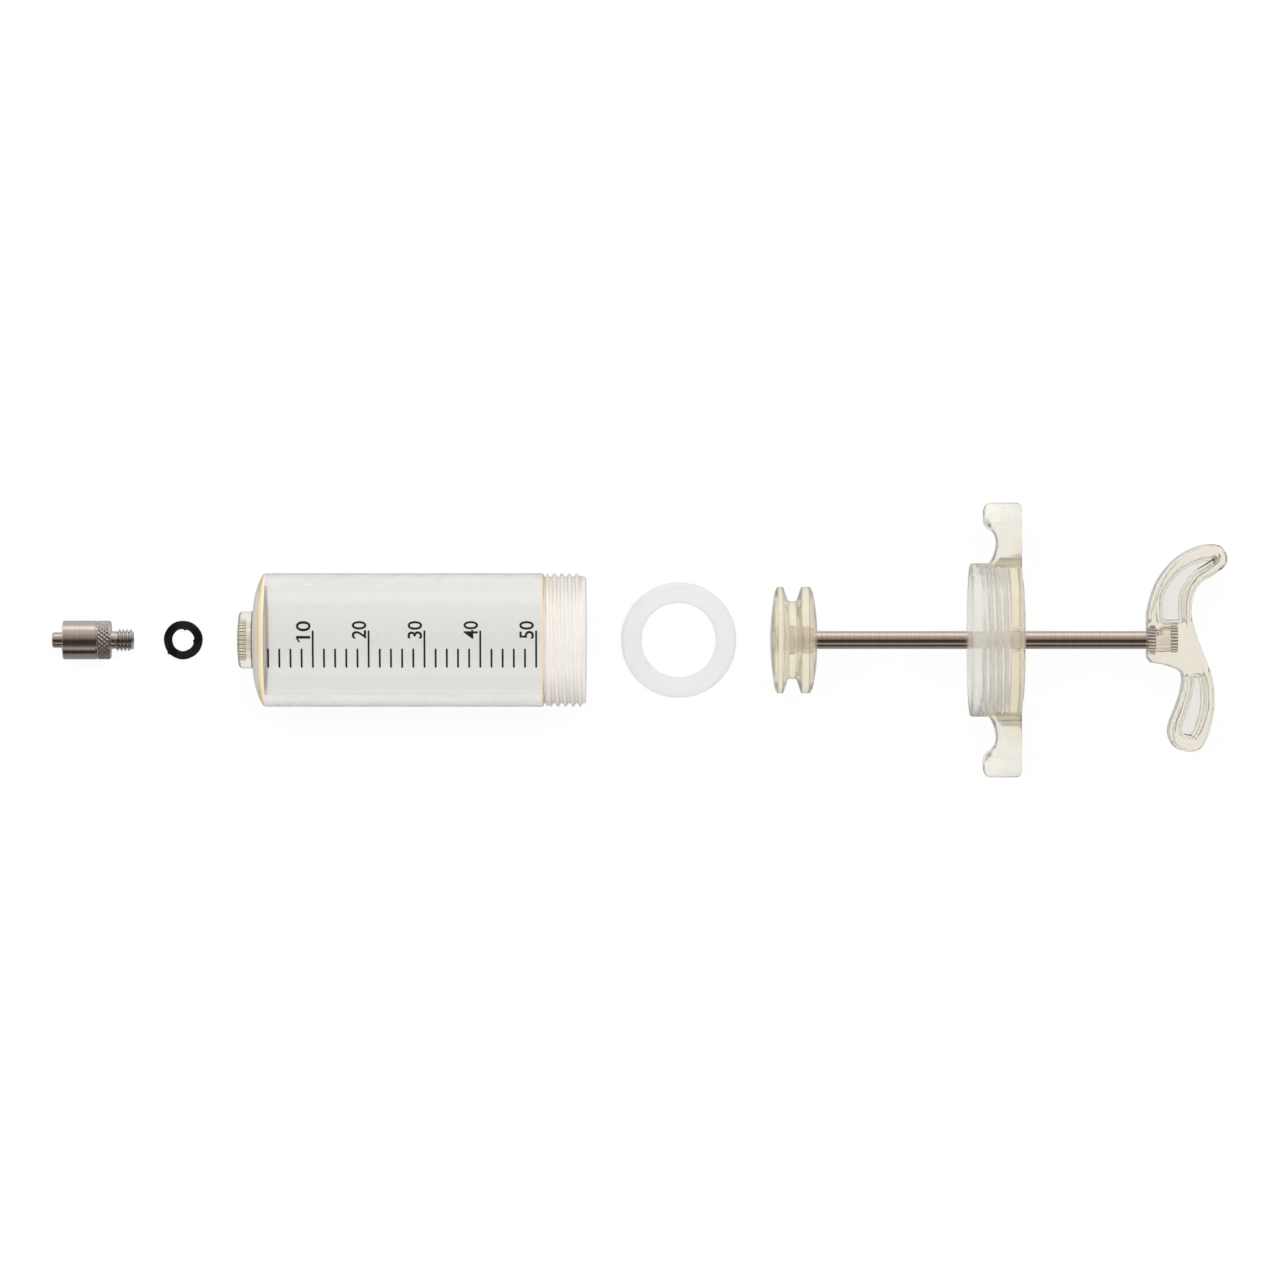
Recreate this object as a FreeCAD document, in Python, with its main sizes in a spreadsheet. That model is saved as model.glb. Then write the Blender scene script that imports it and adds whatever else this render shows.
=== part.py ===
import FreeCAD, Part
import os
import Sketcher
from FreeCAD import Placement, Rotation, Vector

# A 50 ml luer lock syringe, taken apart and laid out in a row on a table.
# Millimetres. +X runs along the row from the tip to the handle, +Z is up from the table.
# The origin is on the table, in the middle of the row.

doc = FreeCAD.newDocument("luer_lock_syringe")
sheet = doc.addObject("Spreadsheet::Sheet", "Sizes")


# Driving dimensions

DIMENSIONS = {
    # Luer tip, turned from one bar of brass
    "nipple_radius": 2.05,
    "nipple_length": 2.9,
    "tip_bore_radius": 1.1,
    "collar_radius": 5.2,
    "collar_length": 9.25,
    "collar_chamfer": 0.35,
    "lock_radius": 4.1,
    "lock_depth": 7.4,
    "knurl_length": 3.6,
    "tip_neck_radius": 2.35,
    "tip_neck_length": 1.3,
    "tip_thread_radius": 2.9,
    "tip_thread_length": 4.7,
    "tip_thread_chamfer": 0.45,
    # Flat washer under the tip
    "washer_radius": 5.25,
    "washer_hole_radius": 2.95,
    "washer_thickness": 1.6,
    # Barrel
    "barrel_radius": 17.75,
    "barrel_wall": 3.0,
    "barrel_length": 92.8,
    "boss_radius": 7.6,
    "boss_length": 4.1,
    "boss_round": 1.1,
    "boss_crown": 0.4,
    "dome_height": 2.8,
    "rim_round": 1.5,
    "front_wall": 6.9,
    "thread_pitch": 2.0,
    "thread_depth": 0.9,
    "thread_turns": 4.6,
    "thread_land": 0.06,
    "thread_relief": 0.9,
    "barrel_lip": 1.4,
    # Knurled nut moulded into the barrel's boss
    "barrel_nut_radius": 3.6,
    "barrel_nut_length": 6.2,
    "barrel_nut_recess": 0.35,
    "barrel_nut_hole_radius": 2.5,
    # Seal ring
    "seal_hole_radius": 10.0,
    "seal_width": 5.45,
    "seal_thickness": 4.0,
    "seal_round": 1.3,
    # Piston
    "piston_radius": 14.15,
    "piston_groove_radius": 10.35,
    "front_flange": 1.5,
    "rear_flange": 2.3,
    "groove_floor": 2.2,
    "groove_slope": 1.3,
    "flange_bevel": 0.7,
    "flange_bevel_drop": 1.2,
    "piston_crown": 1.25,
    # Nut moulded into the piston
    "piston_nut_radius": 2.5,
    "piston_nut_knurl": 2.7,
    "piston_nut_groove": 0.25,
    "piston_nut_collar": 2.1,
    "piston_nut_front": 3.7,
    # Rod
    "rod_radius": 2.375,
    "rod_length": 91.6,
    "rod_end_radius": 1.5,
    "rod_end_length": 4.2,
    "rod_end_chamfer": 0.3,
    "turning_clearance": 0.05,
    "sliding_clearance": 0.08,
    # Cap
    "cap_wall": 2.45,
    "cap_length": 13.6,
    "cap_back_wall": 3.16,
    "cap_back_disc_radius": 16.8,
    "cap_back_disc": 0.5,
    "cap_edge_round": 0.7,
    "cap_entry": 2.6,
    "cap_thread_clearance": 0.2,
    "cap_thread_height": 0.8,
    "cap_thread_turns": 3.4,
    "cap_bush_radius": 4.6,
    "cap_bush_length": 0.5,
    "wing_reach": 36.5,
    "wing_width": 14.0,
    "wing_scoop": 2.6,
    "wing_tip": 9.9,
    "wing_tip_width": 2.9,
    "wing_root_depth": 8.3,
    "wing_end_round": 5.5,
    "wing_corner": 1.2,
    "wing_bite": 0.35,
    # Handle
    "handle_depth": 21.0,
    "handle_upper_reach": 25.4,
    "handle_lower_reach": 29.7,
    "handle_thickness": 13.0,
    "handle_web": 3.0,
    "handle_rim": 2.2,
    "handle_tip_rim": 3.4,
    "handle_hub_top": 4.4,
    "handle_hub_bottom": 8.9,
    "handle_edge_round": 1.2,
    # Nut moulded into the handle
    "handle_nut_flange_radius": 3.9,
    "handle_nut_flange_length": 2.0,
    "handle_nut_waist_radius": 3.1,
    "handle_nut_waist_length": 3.85,
    "handle_nut_head_radius": 3.4,
    "handle_nut_head_length": 2.0,
    "handle_nut_recess": 0.2,
    # Spaces in the row
    "gap_tip_washer": 7.8,
    "gap_washer_barrel": 10.27,
    "gap_barrel_seal": 9.25,
    "gap_seal_piston": 8.8,
    "gap_piston_cap": 40.6,
}


class Size:
    """A length that knows both its number and the formula it comes from."""

    def __init__(self, value, text):
        self.value = value
        self.text = text

    def combine(self, other, sign, value):
        text = other.text if isinstance(other, Size) else repr(float(other))
        return Size(value, f"({self.text} {sign} {text})")

    def __add__(self, other):
        return self.combine(other, "+", self.value + number(other))

    def __sub__(self, other):
        return self.combine(other, "-", self.value - number(other))

    def __mul__(self, other):
        return self.combine(other, "*", self.value * number(other))

    def __truediv__(self, other):
        return self.combine(other, "/", self.value / number(other))


def number(size):
    return size.value if isinstance(size, Size) else float(size)


class Dimensions:
    """Puts each driving dimension in the spreadsheet and hands it out by name."""

    def __init__(self, table):
        for row, (name, value) in enumerate(table.items(), start=1):
            sheet.set(f"A{row}", name)
            sheet.set(f"B{row}", str(value))
            sheet.setAlias(f"B{row}", name)
            setattr(self, name, Size(value, f"Sizes.{name}"))


d = Dimensions(DIMENSIONS)
doc.recompute()
ZERO = Size(0.0, "0")


def bind(obj, name, size):
    """Ties one property of an object to the sheet."""
    obj.setExpression(name, size.text)


# Sketches and turned bodies

def origin_feature(body, role):
    return next(f for f in body.Origin.OriginFeatures if f.Role == role)


def add_profile(body, name, points, plane="XY_Plane"):
    """Closed outline in a sketch, each corner tied to the sheet.

    A point is (along, out) or (along, out, bulge), where bulge is how far the edge
    to the next point swells to the left of its chord.
    """
    sketch = body.newObject("Sketcher::SketchObject", name)
    sketch.AttachmentSupport = (origin_feature(body, plane), [""])
    sketch.MapMode = "FlatFace"
    corners = [Vector(p[0].value, p[1].value, 0) for p in points]
    for i, point in enumerate(points):
        start = corners[i]
        end = corners[(i + 1) % len(points)]
        if len(point) == 3:
            chord = end - start
            left = Vector(-chord.y, chord.x, 0).normalize()
            middle = (start + end) * 0.5 + left * point[2].value
            turns_left = (middle - start).cross(end - middle).z > 0
            ends = (start, end) if turns_left else (end, start)
            sketch.addGeometry(Part.Arc(ends[0], middle, ends[1]), False)
        else:
            sketch.addGeometry(Part.LineSegment(start, end), False)
    for i, point in enumerate(points):
        after = (i + 1) % len(points)
        sketch.addConstraint(Sketcher.Constraint(
            "Coincident", i, edge_end(sketch, i, corners[after]),
            after, edge_end(sketch, after, corners[after])))
    for i, point in enumerate(points):
        corner = edge_end(sketch, i, corners[i])
        for kind, size in (("DistanceX", point[0]), ("DistanceY", point[1])):
            at = sketch.addConstraint(
                Sketcher.Constraint(kind, -1, 1, i, corner, size.value))
            sketch.setExpression(f"Constraints[{at}]", size.text)
        if len(point) == 3:
            ahead = points[(i + 1) % len(points)]
            along = ahead[0] - point[0]
            out = ahead[1] - point[1]
            half_square = (along * along + out * out) / 4
            radius = (half_square + point[2] * point[2]) / (point[2] * 2)
            sign = 1.0 if radius.value > 0 else -1.0
            at = sketch.addConstraint(
                Sketcher.Constraint("Radius", i, radius.value * sign))
            sketch.setExpression(f"Constraints[{at}]", (radius * sign).text)
    return sketch


def edge_end(sketch, index, corner):
    """1 or 2, for whichever end of a sketch edge lies on a corner."""
    edge = sketch.Geometry[index]
    near_start = edge.StartPoint.distanceToPoint(corner)
    near_end = edge.EndPoint.distanceToPoint(corner)
    return 1 if near_start <= near_end else 2


def turned(name, points):
    """A body turned about its own X axis."""
    body = doc.addObject("PartDesign::Body", name)
    sketch = add_profile(body, name + "_profile", points)
    turn = body.newObject("PartDesign::Revolution", name + "_turn")
    turn.Profile = sketch
    turn.ReferenceAxis = (sketch, ["H_Axis"])
    turn.Angle = 360
    doc.recompute()
    return body


def round_edges(body, name, chosen, radius):
    """Rounds the edges of a body for which chosen(edge) is true."""
    base = body.Tip
    names = [f"Edge{i}" for i, e in enumerate(base.Shape.Edges, start=1) if chosen(e)]
    fillet = body.newObject("PartDesign::Fillet", name)
    fillet.Base = (base, names)
    bind(fillet, "Radius", radius)
    doc.recompute()
    return fillet


def is_ring(edge, along, radius):
    """True for a circle about the X axis at one place along it."""
    curve = edge.Curve
    return (isinstance(curve, Part.Circle)
            and abs(curve.Radius - radius) < 1e-4
            and abs(curve.Center.x - along) < 1e-4
            and abs(abs(curve.Axis.x) - 1) < 1e-6)


CROWN_SHARE = 0.25


def crowned(start, end, swell, facets=6):
    """Corners of a slope that swells forwards, towards -X, from start to end."""
    corners = []
    for i in range(facets + 1):
        share = i / facets
        along = start[0] + (end[0] - start[0]) * share - swell * (4 * share * (1 - share))
        out = start[1] + (end[1] - start[1]) * share
        corners.append((along, out))
    return corners


# Places along the row, counted from the front of the tip

tip_length = (d.nipple_length + d.collar_length + d.knurl_length
              + d.tip_neck_length + d.tip_thread_length)
washer_x = tip_length + d.gap_tip_washer + d.washer_radius
barrel_x = washer_x + d.washer_radius + d.gap_washer_barrel
seal_radius = d.seal_hole_radius + d.seal_width
seal_x = barrel_x + d.barrel_length + d.gap_barrel_seal + seal_radius
piston_x = seal_x + seal_radius + d.gap_seal_piston
piston_length = (d.piston_crown * 2 + d.flange_bevel * 2 + d.front_flange
                 + d.groove_slope * 2 + d.groove_floor + d.rear_flange)
nut_x = piston_x + d.piston_nut_front
piston_nut_length = d.piston_nut_knurl + d.piston_nut_groove + d.piston_nut_collar
rod_x = nut_x + piston_nut_length + d.turning_clearance
cap_x = piston_x + piston_length + d.gap_piston_cap
handle_nut_x = rod_x + d.rod_length + d.turning_clearance
handle_x = handle_nut_x - d.handle_nut_recess
row_length = handle_x + d.handle_depth
row_middle = row_length / 2
cap_major = d.barrel_radius + d.cap_thread_clearance
cap_radius = cap_major + d.cap_wall
rod_height = cap_radius


def place(obj, along, height, turn=None):
    """Puts a piece in the row, at a height above the table."""
    if turn is not None:
        obj.Placement = Placement(Vector(0, 0, 0), turn)
    bind(obj, "Placement.Base.x", along - row_middle)
    bind(obj, "Placement.Base.z", height)


# Luer tip

knurl_start = d.nipple_length + d.collar_length
knurl_end = knurl_start + d.knurl_length
neck_end = knurl_end + d.tip_neck_length
lock_floor = d.nipple_length + d.lock_depth
luer_tip = turned("luer_tip", [
    (ZERO, d.tip_bore_radius),
    (ZERO, d.nipple_radius - d.collar_chamfer),
    (d.collar_chamfer, d.nipple_radius),
    (lock_floor, d.nipple_radius),
    (lock_floor, d.lock_radius),
    (d.nipple_length, d.lock_radius),
    (d.nipple_length, d.collar_radius - d.collar_chamfer),
    (d.nipple_length + d.collar_chamfer, d.collar_radius),
    (knurl_end - d.collar_chamfer, d.collar_radius),
    (knurl_end, d.collar_radius - d.collar_chamfer),
    (knurl_end, d.tip_neck_radius),
    (neck_end, d.tip_neck_radius),
    (neck_end + d.tip_thread_chamfer, d.tip_thread_radius),
    (tip_length - d.tip_thread_chamfer, d.tip_thread_radius),
    (tip_length, d.tip_thread_radius - d.tip_thread_chamfer),
    (tip_length, d.tip_bore_radius),
])
place(luer_tip, ZERO, d.collar_radius)


# Washer, a flat ring lying on the table

def flat_ring(name, outer, inner, thickness, rounding=None):
    disc = doc.addObject("Part::Cylinder", name + "_disc")
    hole = doc.addObject("Part::Cylinder", name + "_hole")
    bind(disc, "Radius", outer)
    bind(disc, "Height", thickness)
    bind(hole, "Radius", inner)
    bind(hole, "Height", thickness)
    ring = doc.addObject("Part::Cut", name + "_ring" if rounding else name)
    ring.Base = disc
    ring.Tool = hole
    doc.recompute()
    if rounding is None:
        return ring
    rounded = doc.addObject("Part::Fillet", name)
    rounded.Base = ring
    circles = [i for i, e in enumerate(ring.Shape.Edges, start=1)
               if isinstance(e.Curve, Part.Circle)]
    rounded.Edges = [(i, rounding.value, rounding.value) for i in circles]
    doc.recompute()
    return rounded


tip_washer = flat_ring("tip_washer", d.washer_radius, d.washer_hole_radius, d.washer_thickness)
place(tip_washer, washer_x, ZERO)


# Barrel

bore_radius = d.barrel_radius - d.barrel_wall
root_radius = d.barrel_radius - d.thread_depth
dome_foot = d.boss_length
dome_top = d.boss_length + d.dome_height
dome_swell = d.dome_height * CROWN_SHARE
thread_end = d.barrel_length - d.barrel_lip
thread_start = thread_end - d.thread_pitch * d.thread_turns
relief_start = thread_start - d.thread_relief
thread_bevel = d.thread_depth / 2
nut_bore_end = d.barrel_nut_recess + d.barrel_nut_length
barrel_blank = turned("barrel_blank", [
    (ZERO, d.barrel_nut_radius),
    (d.boss_crown, d.boss_radius),
    *crowned((dome_foot, d.boss_radius), (dome_top, d.barrel_radius), dome_swell),
    (relief_start, d.barrel_radius),
    (relief_start + thread_bevel, root_radius),
    (thread_start - thread_bevel / 2, root_radius),
    (thread_start + thread_bevel / 2, d.barrel_radius),
    (thread_end, d.barrel_radius),
    (thread_end + thread_bevel, root_radius),
    (d.barrel_length, root_radius),
    (d.barrel_length, bore_radius),
    (d.front_wall, bore_radius),
    (d.front_wall, d.barrel_nut_hole_radius),
    (nut_bore_end, d.barrel_nut_hole_radius),
    (nut_bore_end, d.barrel_nut_radius),
])
round_edges(barrel_blank, "boss_edge",
            lambda e: is_ring(e, d.boss_crown.value, d.boss_radius.value), d.boss_round)
round_edges(barrel_blank, "rim_edge",
            lambda e: is_ring(e, dome_top.value, d.barrel_radius.value), d.rim_round)


THREAD_STARTS = (123, 61, 151, 17, 200, 290)
LEAST_SHARE_CUT = 0.3
GROOVE_MOUTH_SHARE = 0.78
GROOVE_FLOOR_SHARE = 0.22
GROOVE_OVERSHOOT = 0.3
LEAD_IN_TURNS = 0.25
EXTRA_TURNS = 0.5


def helical_cutter(name, radius, depth, pitch, turns, start, outward):
    """A trapezium groove wound about the X axis, as a solid to cut away.

    radius is the surface that it cuts into. outward says which side the metal of
    the cut lies on: True cuts inwards from outside, False outwards from inside.
    """
    side = 1.0 if outward else -1.0
    top = pitch * GROOVE_MOUTH_SHARE
    floor = pitch * GROOVE_FLOOR_SHARE
    mouth = radius + side * GROOVE_OVERSHOOT
    bottom = radius - side * depth
    helix = Part.makeHelix(pitch, pitch * turns, bottom)
    corners = [Vector(mouth, 0, -top / 2), Vector(bottom, 0, -floor / 2),
               Vector(bottom, 0, floor / 2), Vector(mouth, 0, top / 2)]
    section = Part.makePolygon(corners + corners[:1])
    wound = Part.Wire(helix).makePipeShell([section], True, True)
    wound.Placement = Placement(Vector(start, 0, 0), Rotation(Vector(0, 1, 0), 90))
    cutter = doc.addObject("Part::Feature", name)
    cutter.Shape = wound
    return cutter


def cut_thread(name, blank, cutter):
    """Cuts a thread into a blank, its start turned to where the cut comes out whole."""
    threaded = doc.addObject("Part::Cut", name)
    threaded.Base = blank
    threaded.Tool = cutter
    wound = cutter.Shape.copy()
    for start_angle in THREAD_STARTS:
        turned_cutter = wound.copy()
        turned_cutter.rotate(Vector(0, 0, 0), Vector(1, 0, 0), start_angle)
        cutter.Shape = turned_cutter
        doc.recompute()
        removed = blank.Shape.Volume - threaded.Shape.Volume
        if removed > wound.Volume * LEAST_SHARE_CUT:
            break
    return threaded


barrel_groove = helical_cutter(
    "barrel_groove", d.barrel_radius.value, (d.thread_depth - d.thread_land).value,
    d.thread_pitch.value, d.thread_turns.value + EXTRA_TURNS,
    thread_start.value - d.thread_pitch.value * LEAD_IN_TURNS, True)
barrel = cut_thread("barrel", barrel_blank, barrel_groove)
place(barrel, barrel_x, d.barrel_radius)


# Nut moulded into the barrel's boss

barrel_nut = turned("barrel_nut", [
    (ZERO, d.barrel_nut_hole_radius),
    (ZERO, d.barrel_nut_radius),
    (d.barrel_nut_length, d.barrel_nut_radius),
    (d.barrel_nut_length, d.barrel_nut_hole_radius),
])
place(barrel_nut, barrel_x + d.barrel_nut_recess, d.barrel_radius)


# Seal ring, lying flat on the table

seal_ring = flat_ring("seal_ring", seal_radius, d.seal_hole_radius,
                      d.seal_thickness, d.seal_round)
place(seal_ring, seal_x, ZERO)


# Piston, a spool with crowned ends and a groove for the seal ring

bevel_radius = d.piston_radius - d.flange_bevel_drop
front_rim = d.piston_crown + d.flange_bevel
groove_top = front_rim + d.front_flange
groove_foot = groove_top + d.groove_slope
groove_end = groove_foot + d.groove_floor
rear_rim = groove_end + d.groove_slope
rear_rim_end = rear_rim + d.rear_flange
rear_face = rear_rim_end + d.flange_bevel
rod_hole_radius = d.rod_radius + d.turning_clearance
nut_hole_end = d.piston_nut_front + piston_nut_length
piston_swell = d.piston_crown * CROWN_SHARE
piston = turned("piston", [
    *crowned((ZERO, ZERO), (d.piston_crown, bevel_radius), piston_swell),
    (front_rim, d.piston_radius),
    (groove_top, d.piston_radius),
    (groove_foot, d.piston_groove_radius),
    (groove_end, d.piston_groove_radius),
    (rear_rim, d.piston_radius),
    (rear_rim_end, d.piston_radius),
    *crowned((rear_face, bevel_radius), (piston_length, rod_hole_radius), piston_swell * -1),
    (nut_hole_end, rod_hole_radius),
    (nut_hole_end, d.piston_nut_radius),
    (d.piston_nut_front, d.piston_nut_radius),
    (d.piston_nut_front, ZERO),
])
place(piston, piston_x, rod_height)


# Nut moulded into the piston

knurl_far = d.piston_nut_knurl
collar_near = d.piston_nut_knurl + d.piston_nut_groove
spigot_hole_radius = d.rod_end_radius + d.turning_clearance
groove_bottom = d.piston_nut_radius - d.piston_nut_groove
piston_nut = turned("piston_nut", [
    (ZERO, ZERO),
    (ZERO, d.piston_nut_radius),
    (knurl_far, d.piston_nut_radius),
    (knurl_far, groove_bottom),
    (collar_near, groove_bottom),
    (collar_near, d.piston_nut_radius),
    (piston_nut_length, d.piston_nut_radius),
    (piston_nut_length, spigot_hole_radius),
    (piston_nut_length - d.rod_end_length, spigot_hole_radius),
    (piston_nut_length - d.rod_end_length, ZERO),
])
place(piston_nut, nut_x, rod_height)


# Rod, with a screwed end at each side

rod_spigot = d.rod_end_length - d.turning_clearance * 2
rod_total = d.rod_length + rod_spigot * 2
rod = turned("rod", [
    (ZERO, ZERO),
    (ZERO, d.rod_end_radius - d.rod_end_chamfer),
    (d.rod_end_chamfer, d.rod_end_radius),
    (rod_spigot, d.rod_end_radius),
    (rod_spigot, d.rod_radius),
    (rod_spigot + d.rod_length, d.rod_radius),
    (rod_spigot + d.rod_length, d.rod_end_radius),
    (rod_total - d.rod_end_chamfer, d.rod_end_radius),
    (rod_total, d.rod_end_radius - d.rod_end_chamfer),
    (rod_total, ZERO),
])
place(rod, rod_x - rod_spigot, rod_height)


# Cap: threaded ring, back wall and two finger wings in one moulding

cap_minor = cap_major - d.cap_thread_height
cap_floor = d.cap_length - d.cap_back_wall
cap_end = d.cap_length + d.cap_back_disc
cap_hole_radius = d.rod_radius + d.sliding_clearance
bush_start = cap_floor - d.cap_bush_length
entry_slope = d.cap_entry + d.cap_thread_height
cap_blank = turned("cap_blank", [
    (ZERO, cap_major),
    (ZERO, cap_radius),
    (d.cap_length, cap_radius),
    (d.cap_length, d.cap_back_disc_radius),
    (cap_end, d.cap_back_disc_radius - d.cap_back_disc),
    (cap_end, cap_hole_radius),
    (bush_start, cap_hole_radius),
    (bush_start, d.cap_bush_radius),
    (cap_floor, d.cap_bush_radius),
    (cap_floor, cap_minor),
    (entry_slope, cap_minor),
    (d.cap_entry, cap_major),
])
round_edges(cap_blank, "cap_front_edge",
            lambda e: is_ring(e, 0.0, cap_radius.value), d.cap_edge_round)

wing_root = cap_major + d.wing_bite
wing_tip_reach = d.wing_reach - d.wing_tip_width
wing_sketch_points = [
    (d.cap_length, wing_root),
    (d.cap_length, d.wing_reach),
    (d.cap_length - d.wing_tip + d.wing_corner, d.wing_reach),
    (d.cap_length - d.wing_tip, d.wing_reach - d.wing_corner),
    (d.cap_length - d.wing_tip, wing_tip_reach, d.wing_scoop),
    (d.cap_length - d.wing_root_depth, cap_radius),
    (d.cap_length - d.wing_root_depth, wing_root),
]
wing_sketch = add_profile(cap_blank, "wing_profile", wing_sketch_points)
wing = cap_blank.newObject("PartDesign::Pad", "wing")
wing.Profile = wing_sketch
wing.Midplane = True
bind(wing, "Length", d.wing_width)
doc.recompute()


def is_straight(edge, axis):
    """True for a straight edge along one axis."""
    return isinstance(edge.Curve, Part.Line) and abs(abs(edge.Curve.Direction.dot(axis)) - 1) < 1e-6


both_wings = cap_blank.newObject("PartDesign::Mirrored", "both_wings")
both_wings.Originals = [wing]
both_wings.MirrorPlane = (origin_feature(cap_blank, "XZ_Plane"), [""])
cap_blank.Tip = both_wings
doc.recompute()
wing_ends = [f"Edge{i}" for i, e in enumerate(both_wings.Shape.Edges, start=1)
             if is_straight(e, Vector(1, 0, 0))
             and abs(abs(e.CenterOfMass.y) - d.wing_reach.value) < 1e-4]
end_round = cap_blank.newObject("PartDesign::Fillet", "wing_end_round")
end_round.Base = (both_wings, wing_ends)
bind(end_round, "Radius", d.wing_end_round)
doc.recompute()

cap_groove = helical_cutter(
    "cap_groove", cap_minor.value, (d.cap_thread_height - d.thread_land).value,
    d.thread_pitch.value, d.cap_thread_turns.value + EXTRA_TURNS, d.cap_entry.value, False)
cap = cut_thread("cap", cap_blank, cap_groove)
place(cap, cap_x, rod_height)


# Handle: a flat S with a solid hub and a web in each arm

HANDLE_OUTLINE = [
    # Shares of the handle's depth, and of its upper or lower reach
    (0.000, 0.277), (0.047, 0.445), (0.136, 0.630), (0.300, 0.807), (0.480, 0.921),
    (0.680, 0.992), (0.828, 1.000), (0.935, 0.968), (1.000, 0.854), (0.963, 0.768),
    (0.828, 0.681), (0.679, 0.606), (0.591, 0.508), (0.553, 0.370), (0.553, 0.230),
    (0.609, 0.061), (0.698, -0.118), (0.772, -0.249), (0.828, -0.407), (0.837, -0.604),
    (0.781, -0.801), (0.716, -0.919), (0.647, -0.980), (0.530, -1.000), (0.391, -0.973),
    (0.309, -0.919), (0.267, -0.828), (0.291, -0.724), (0.363, -0.593), (0.428, -0.448),
    (0.446, -0.330), (0.400, -0.268), (0.228, -0.222), (0.056, -0.202),
]
HUB_FOOT = (0.000, -0.158)


def handle_point(along, reach):
    """A point of the outline, in the handle's own plane."""
    span = d.handle_upper_reach if reach > 0 else d.handle_lower_reach
    return Vector(d.handle_depth.value * along, span.value * reach, 0)


def handle_shape():
    """The S outline drawn out to its thickness, with a pocket on each side of each arm."""
    thickness = d.handle_thickness.value
    points = [handle_point(*share) for share in HANDLE_OUTLINE]
    foot = handle_point(*HUB_FOOT)
    sweep = Part.BSplineCurve()
    sweep.interpolate(points)
    outline = Part.Wire([sweep.toShape(), Part.makeLine(points[-1], foot),
                         Part.makeLine(foot, points[0])])
    face = Part.Face(outline)
    solid = face.extrude(Vector(0, 0, thickness))
    solid.translate(Vector(0, 0, -thickness / 2))
    edges = [e for e in solid.Edges if abs(abs(e.CenterOfMass.z) - thickness / 2) < 1e-6]
    solid = solid.makeFillet(d.handle_edge_round.value, edges)
    for hub_edge, side_of_hub in ((d.handle_hub_top.value, 1), (-d.handle_hub_bottom.value, -1)):
        pocket_face = Part.Face(pocket_outline(points, hub_edge, side_of_hub))
        for side in (1, -1):
            pocket = pocket_face.extrude(Vector(0, 0, side * thickness))
            pocket.translate(Vector(0, 0, side * d.handle_web.value / 2))
            solid = solid.cut(pocket)
    return solid


TIP_SHARPNESS = 6


def pocket_outline(points, hub_edge, side_of_hub):
    """The arm's outline moved in by the rim, closed by a straight edge along the hub.

    The rim grows towards the arm's tip, where it is thickest.
    """
    inset = []
    for before, point, after in zip(points, points[1:], points[2:]):
        along = (after - before).normalize()
        reach = d.handle_upper_reach if point.y > 0 else d.handle_lower_reach
        near_tip = abs(point.y / reach.value) ** TIP_SHARPNESS
        rim = d.handle_rim.value + (d.handle_tip_rim - d.handle_rim).value * near_tip
        inset.append(point + Vector(along.y, -along.x, 0) * rim)
    arm = [p for p in inset if (p.y - hub_edge) * side_of_hub > 0]
    first = inset.index(arm[0])
    last = inset.index(arm[-1])
    ends = []
    for inside, beyond in ((first, first - 1), (last, (last + 1) % len(inset))):
        near, far = inset[inside], inset[beyond]
        if beyond < 0 or (far.y - near.y) * side_of_hub >= 0:
            ends.append(Vector(near.x, hub_edge, 0))
        else:
            share = (hub_edge - near.y) / (far.y - near.y)
            ends.append(near + (far - near) * share)
    curve = Part.BSplineCurve()
    curve.interpolate([ends[0]] + arm + [ends[1]])
    return Part.Wire([curve.toShape(), Part.makeLine(ends[1], ends[0])])


def stepped_plug(steps):
    """Coaxial cylinders one after another along X, as one solid."""
    plug = None
    along = 0.0
    for radius, length in steps:
        step = Part.makeCylinder(radius, length, Vector(along, 0, 0), Vector(1, 0, 0))
        plug = step if plug is None else plug.fuse(step)
        along += length
    return plug


handle_nut_steps = [
    (d.handle_nut_flange_radius, d.handle_nut_flange_length),
    (d.handle_nut_waist_radius, d.handle_nut_waist_length),
    (d.handle_nut_head_radius, d.handle_nut_head_length),
]
handle = doc.addObject("Part::Feature", "handle")
solid = handle_shape()
# The nut's cavity opens at the hub's face, and the nut sits a little below it
flange_cavity = Part.makeCylinder(
    d.handle_nut_flange_radius.value, d.handle_nut_recess.value, Vector(0, 0, 0), Vector(1, 0, 0))
nut_cavity = stepped_plug([(radius.value, length.value) for radius, length in handle_nut_steps])
nut_cavity.translate(Vector(d.handle_nut_recess.value, 0, 0))
handle.Shape = solid.cut(nut_cavity).cut(flange_cavity).Solids[0]
place(handle, handle_x, rod_height)


# Nut moulded into the handle

flange_end = d.handle_nut_flange_length
waist_end = flange_end + d.handle_nut_waist_length
head_end = waist_end + d.handle_nut_head_length
handle_nut = turned("handle_nut", [
    (ZERO, spigot_hole_radius),
    (ZERO, d.handle_nut_flange_radius),
    (flange_end, d.handle_nut_flange_radius),
    (flange_end, d.handle_nut_waist_radius),
    (waist_end, d.handle_nut_waist_radius),
    (waist_end, d.handle_nut_head_radius),
    (head_end, d.handle_nut_head_radius),
    (head_end, ZERO),
    (d.rod_end_length, ZERO),
    (d.rod_end_length, spigot_hole_radius),
])
place(handle_nut, handle_nut_x, rod_height)


# Checks, and one STEP file for each piece

NODES = [luer_tip, tip_washer, barrel, barrel_nut, seal_ring, piston, piston_nut,
         rod, cap, handle, handle_nut]

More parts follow.
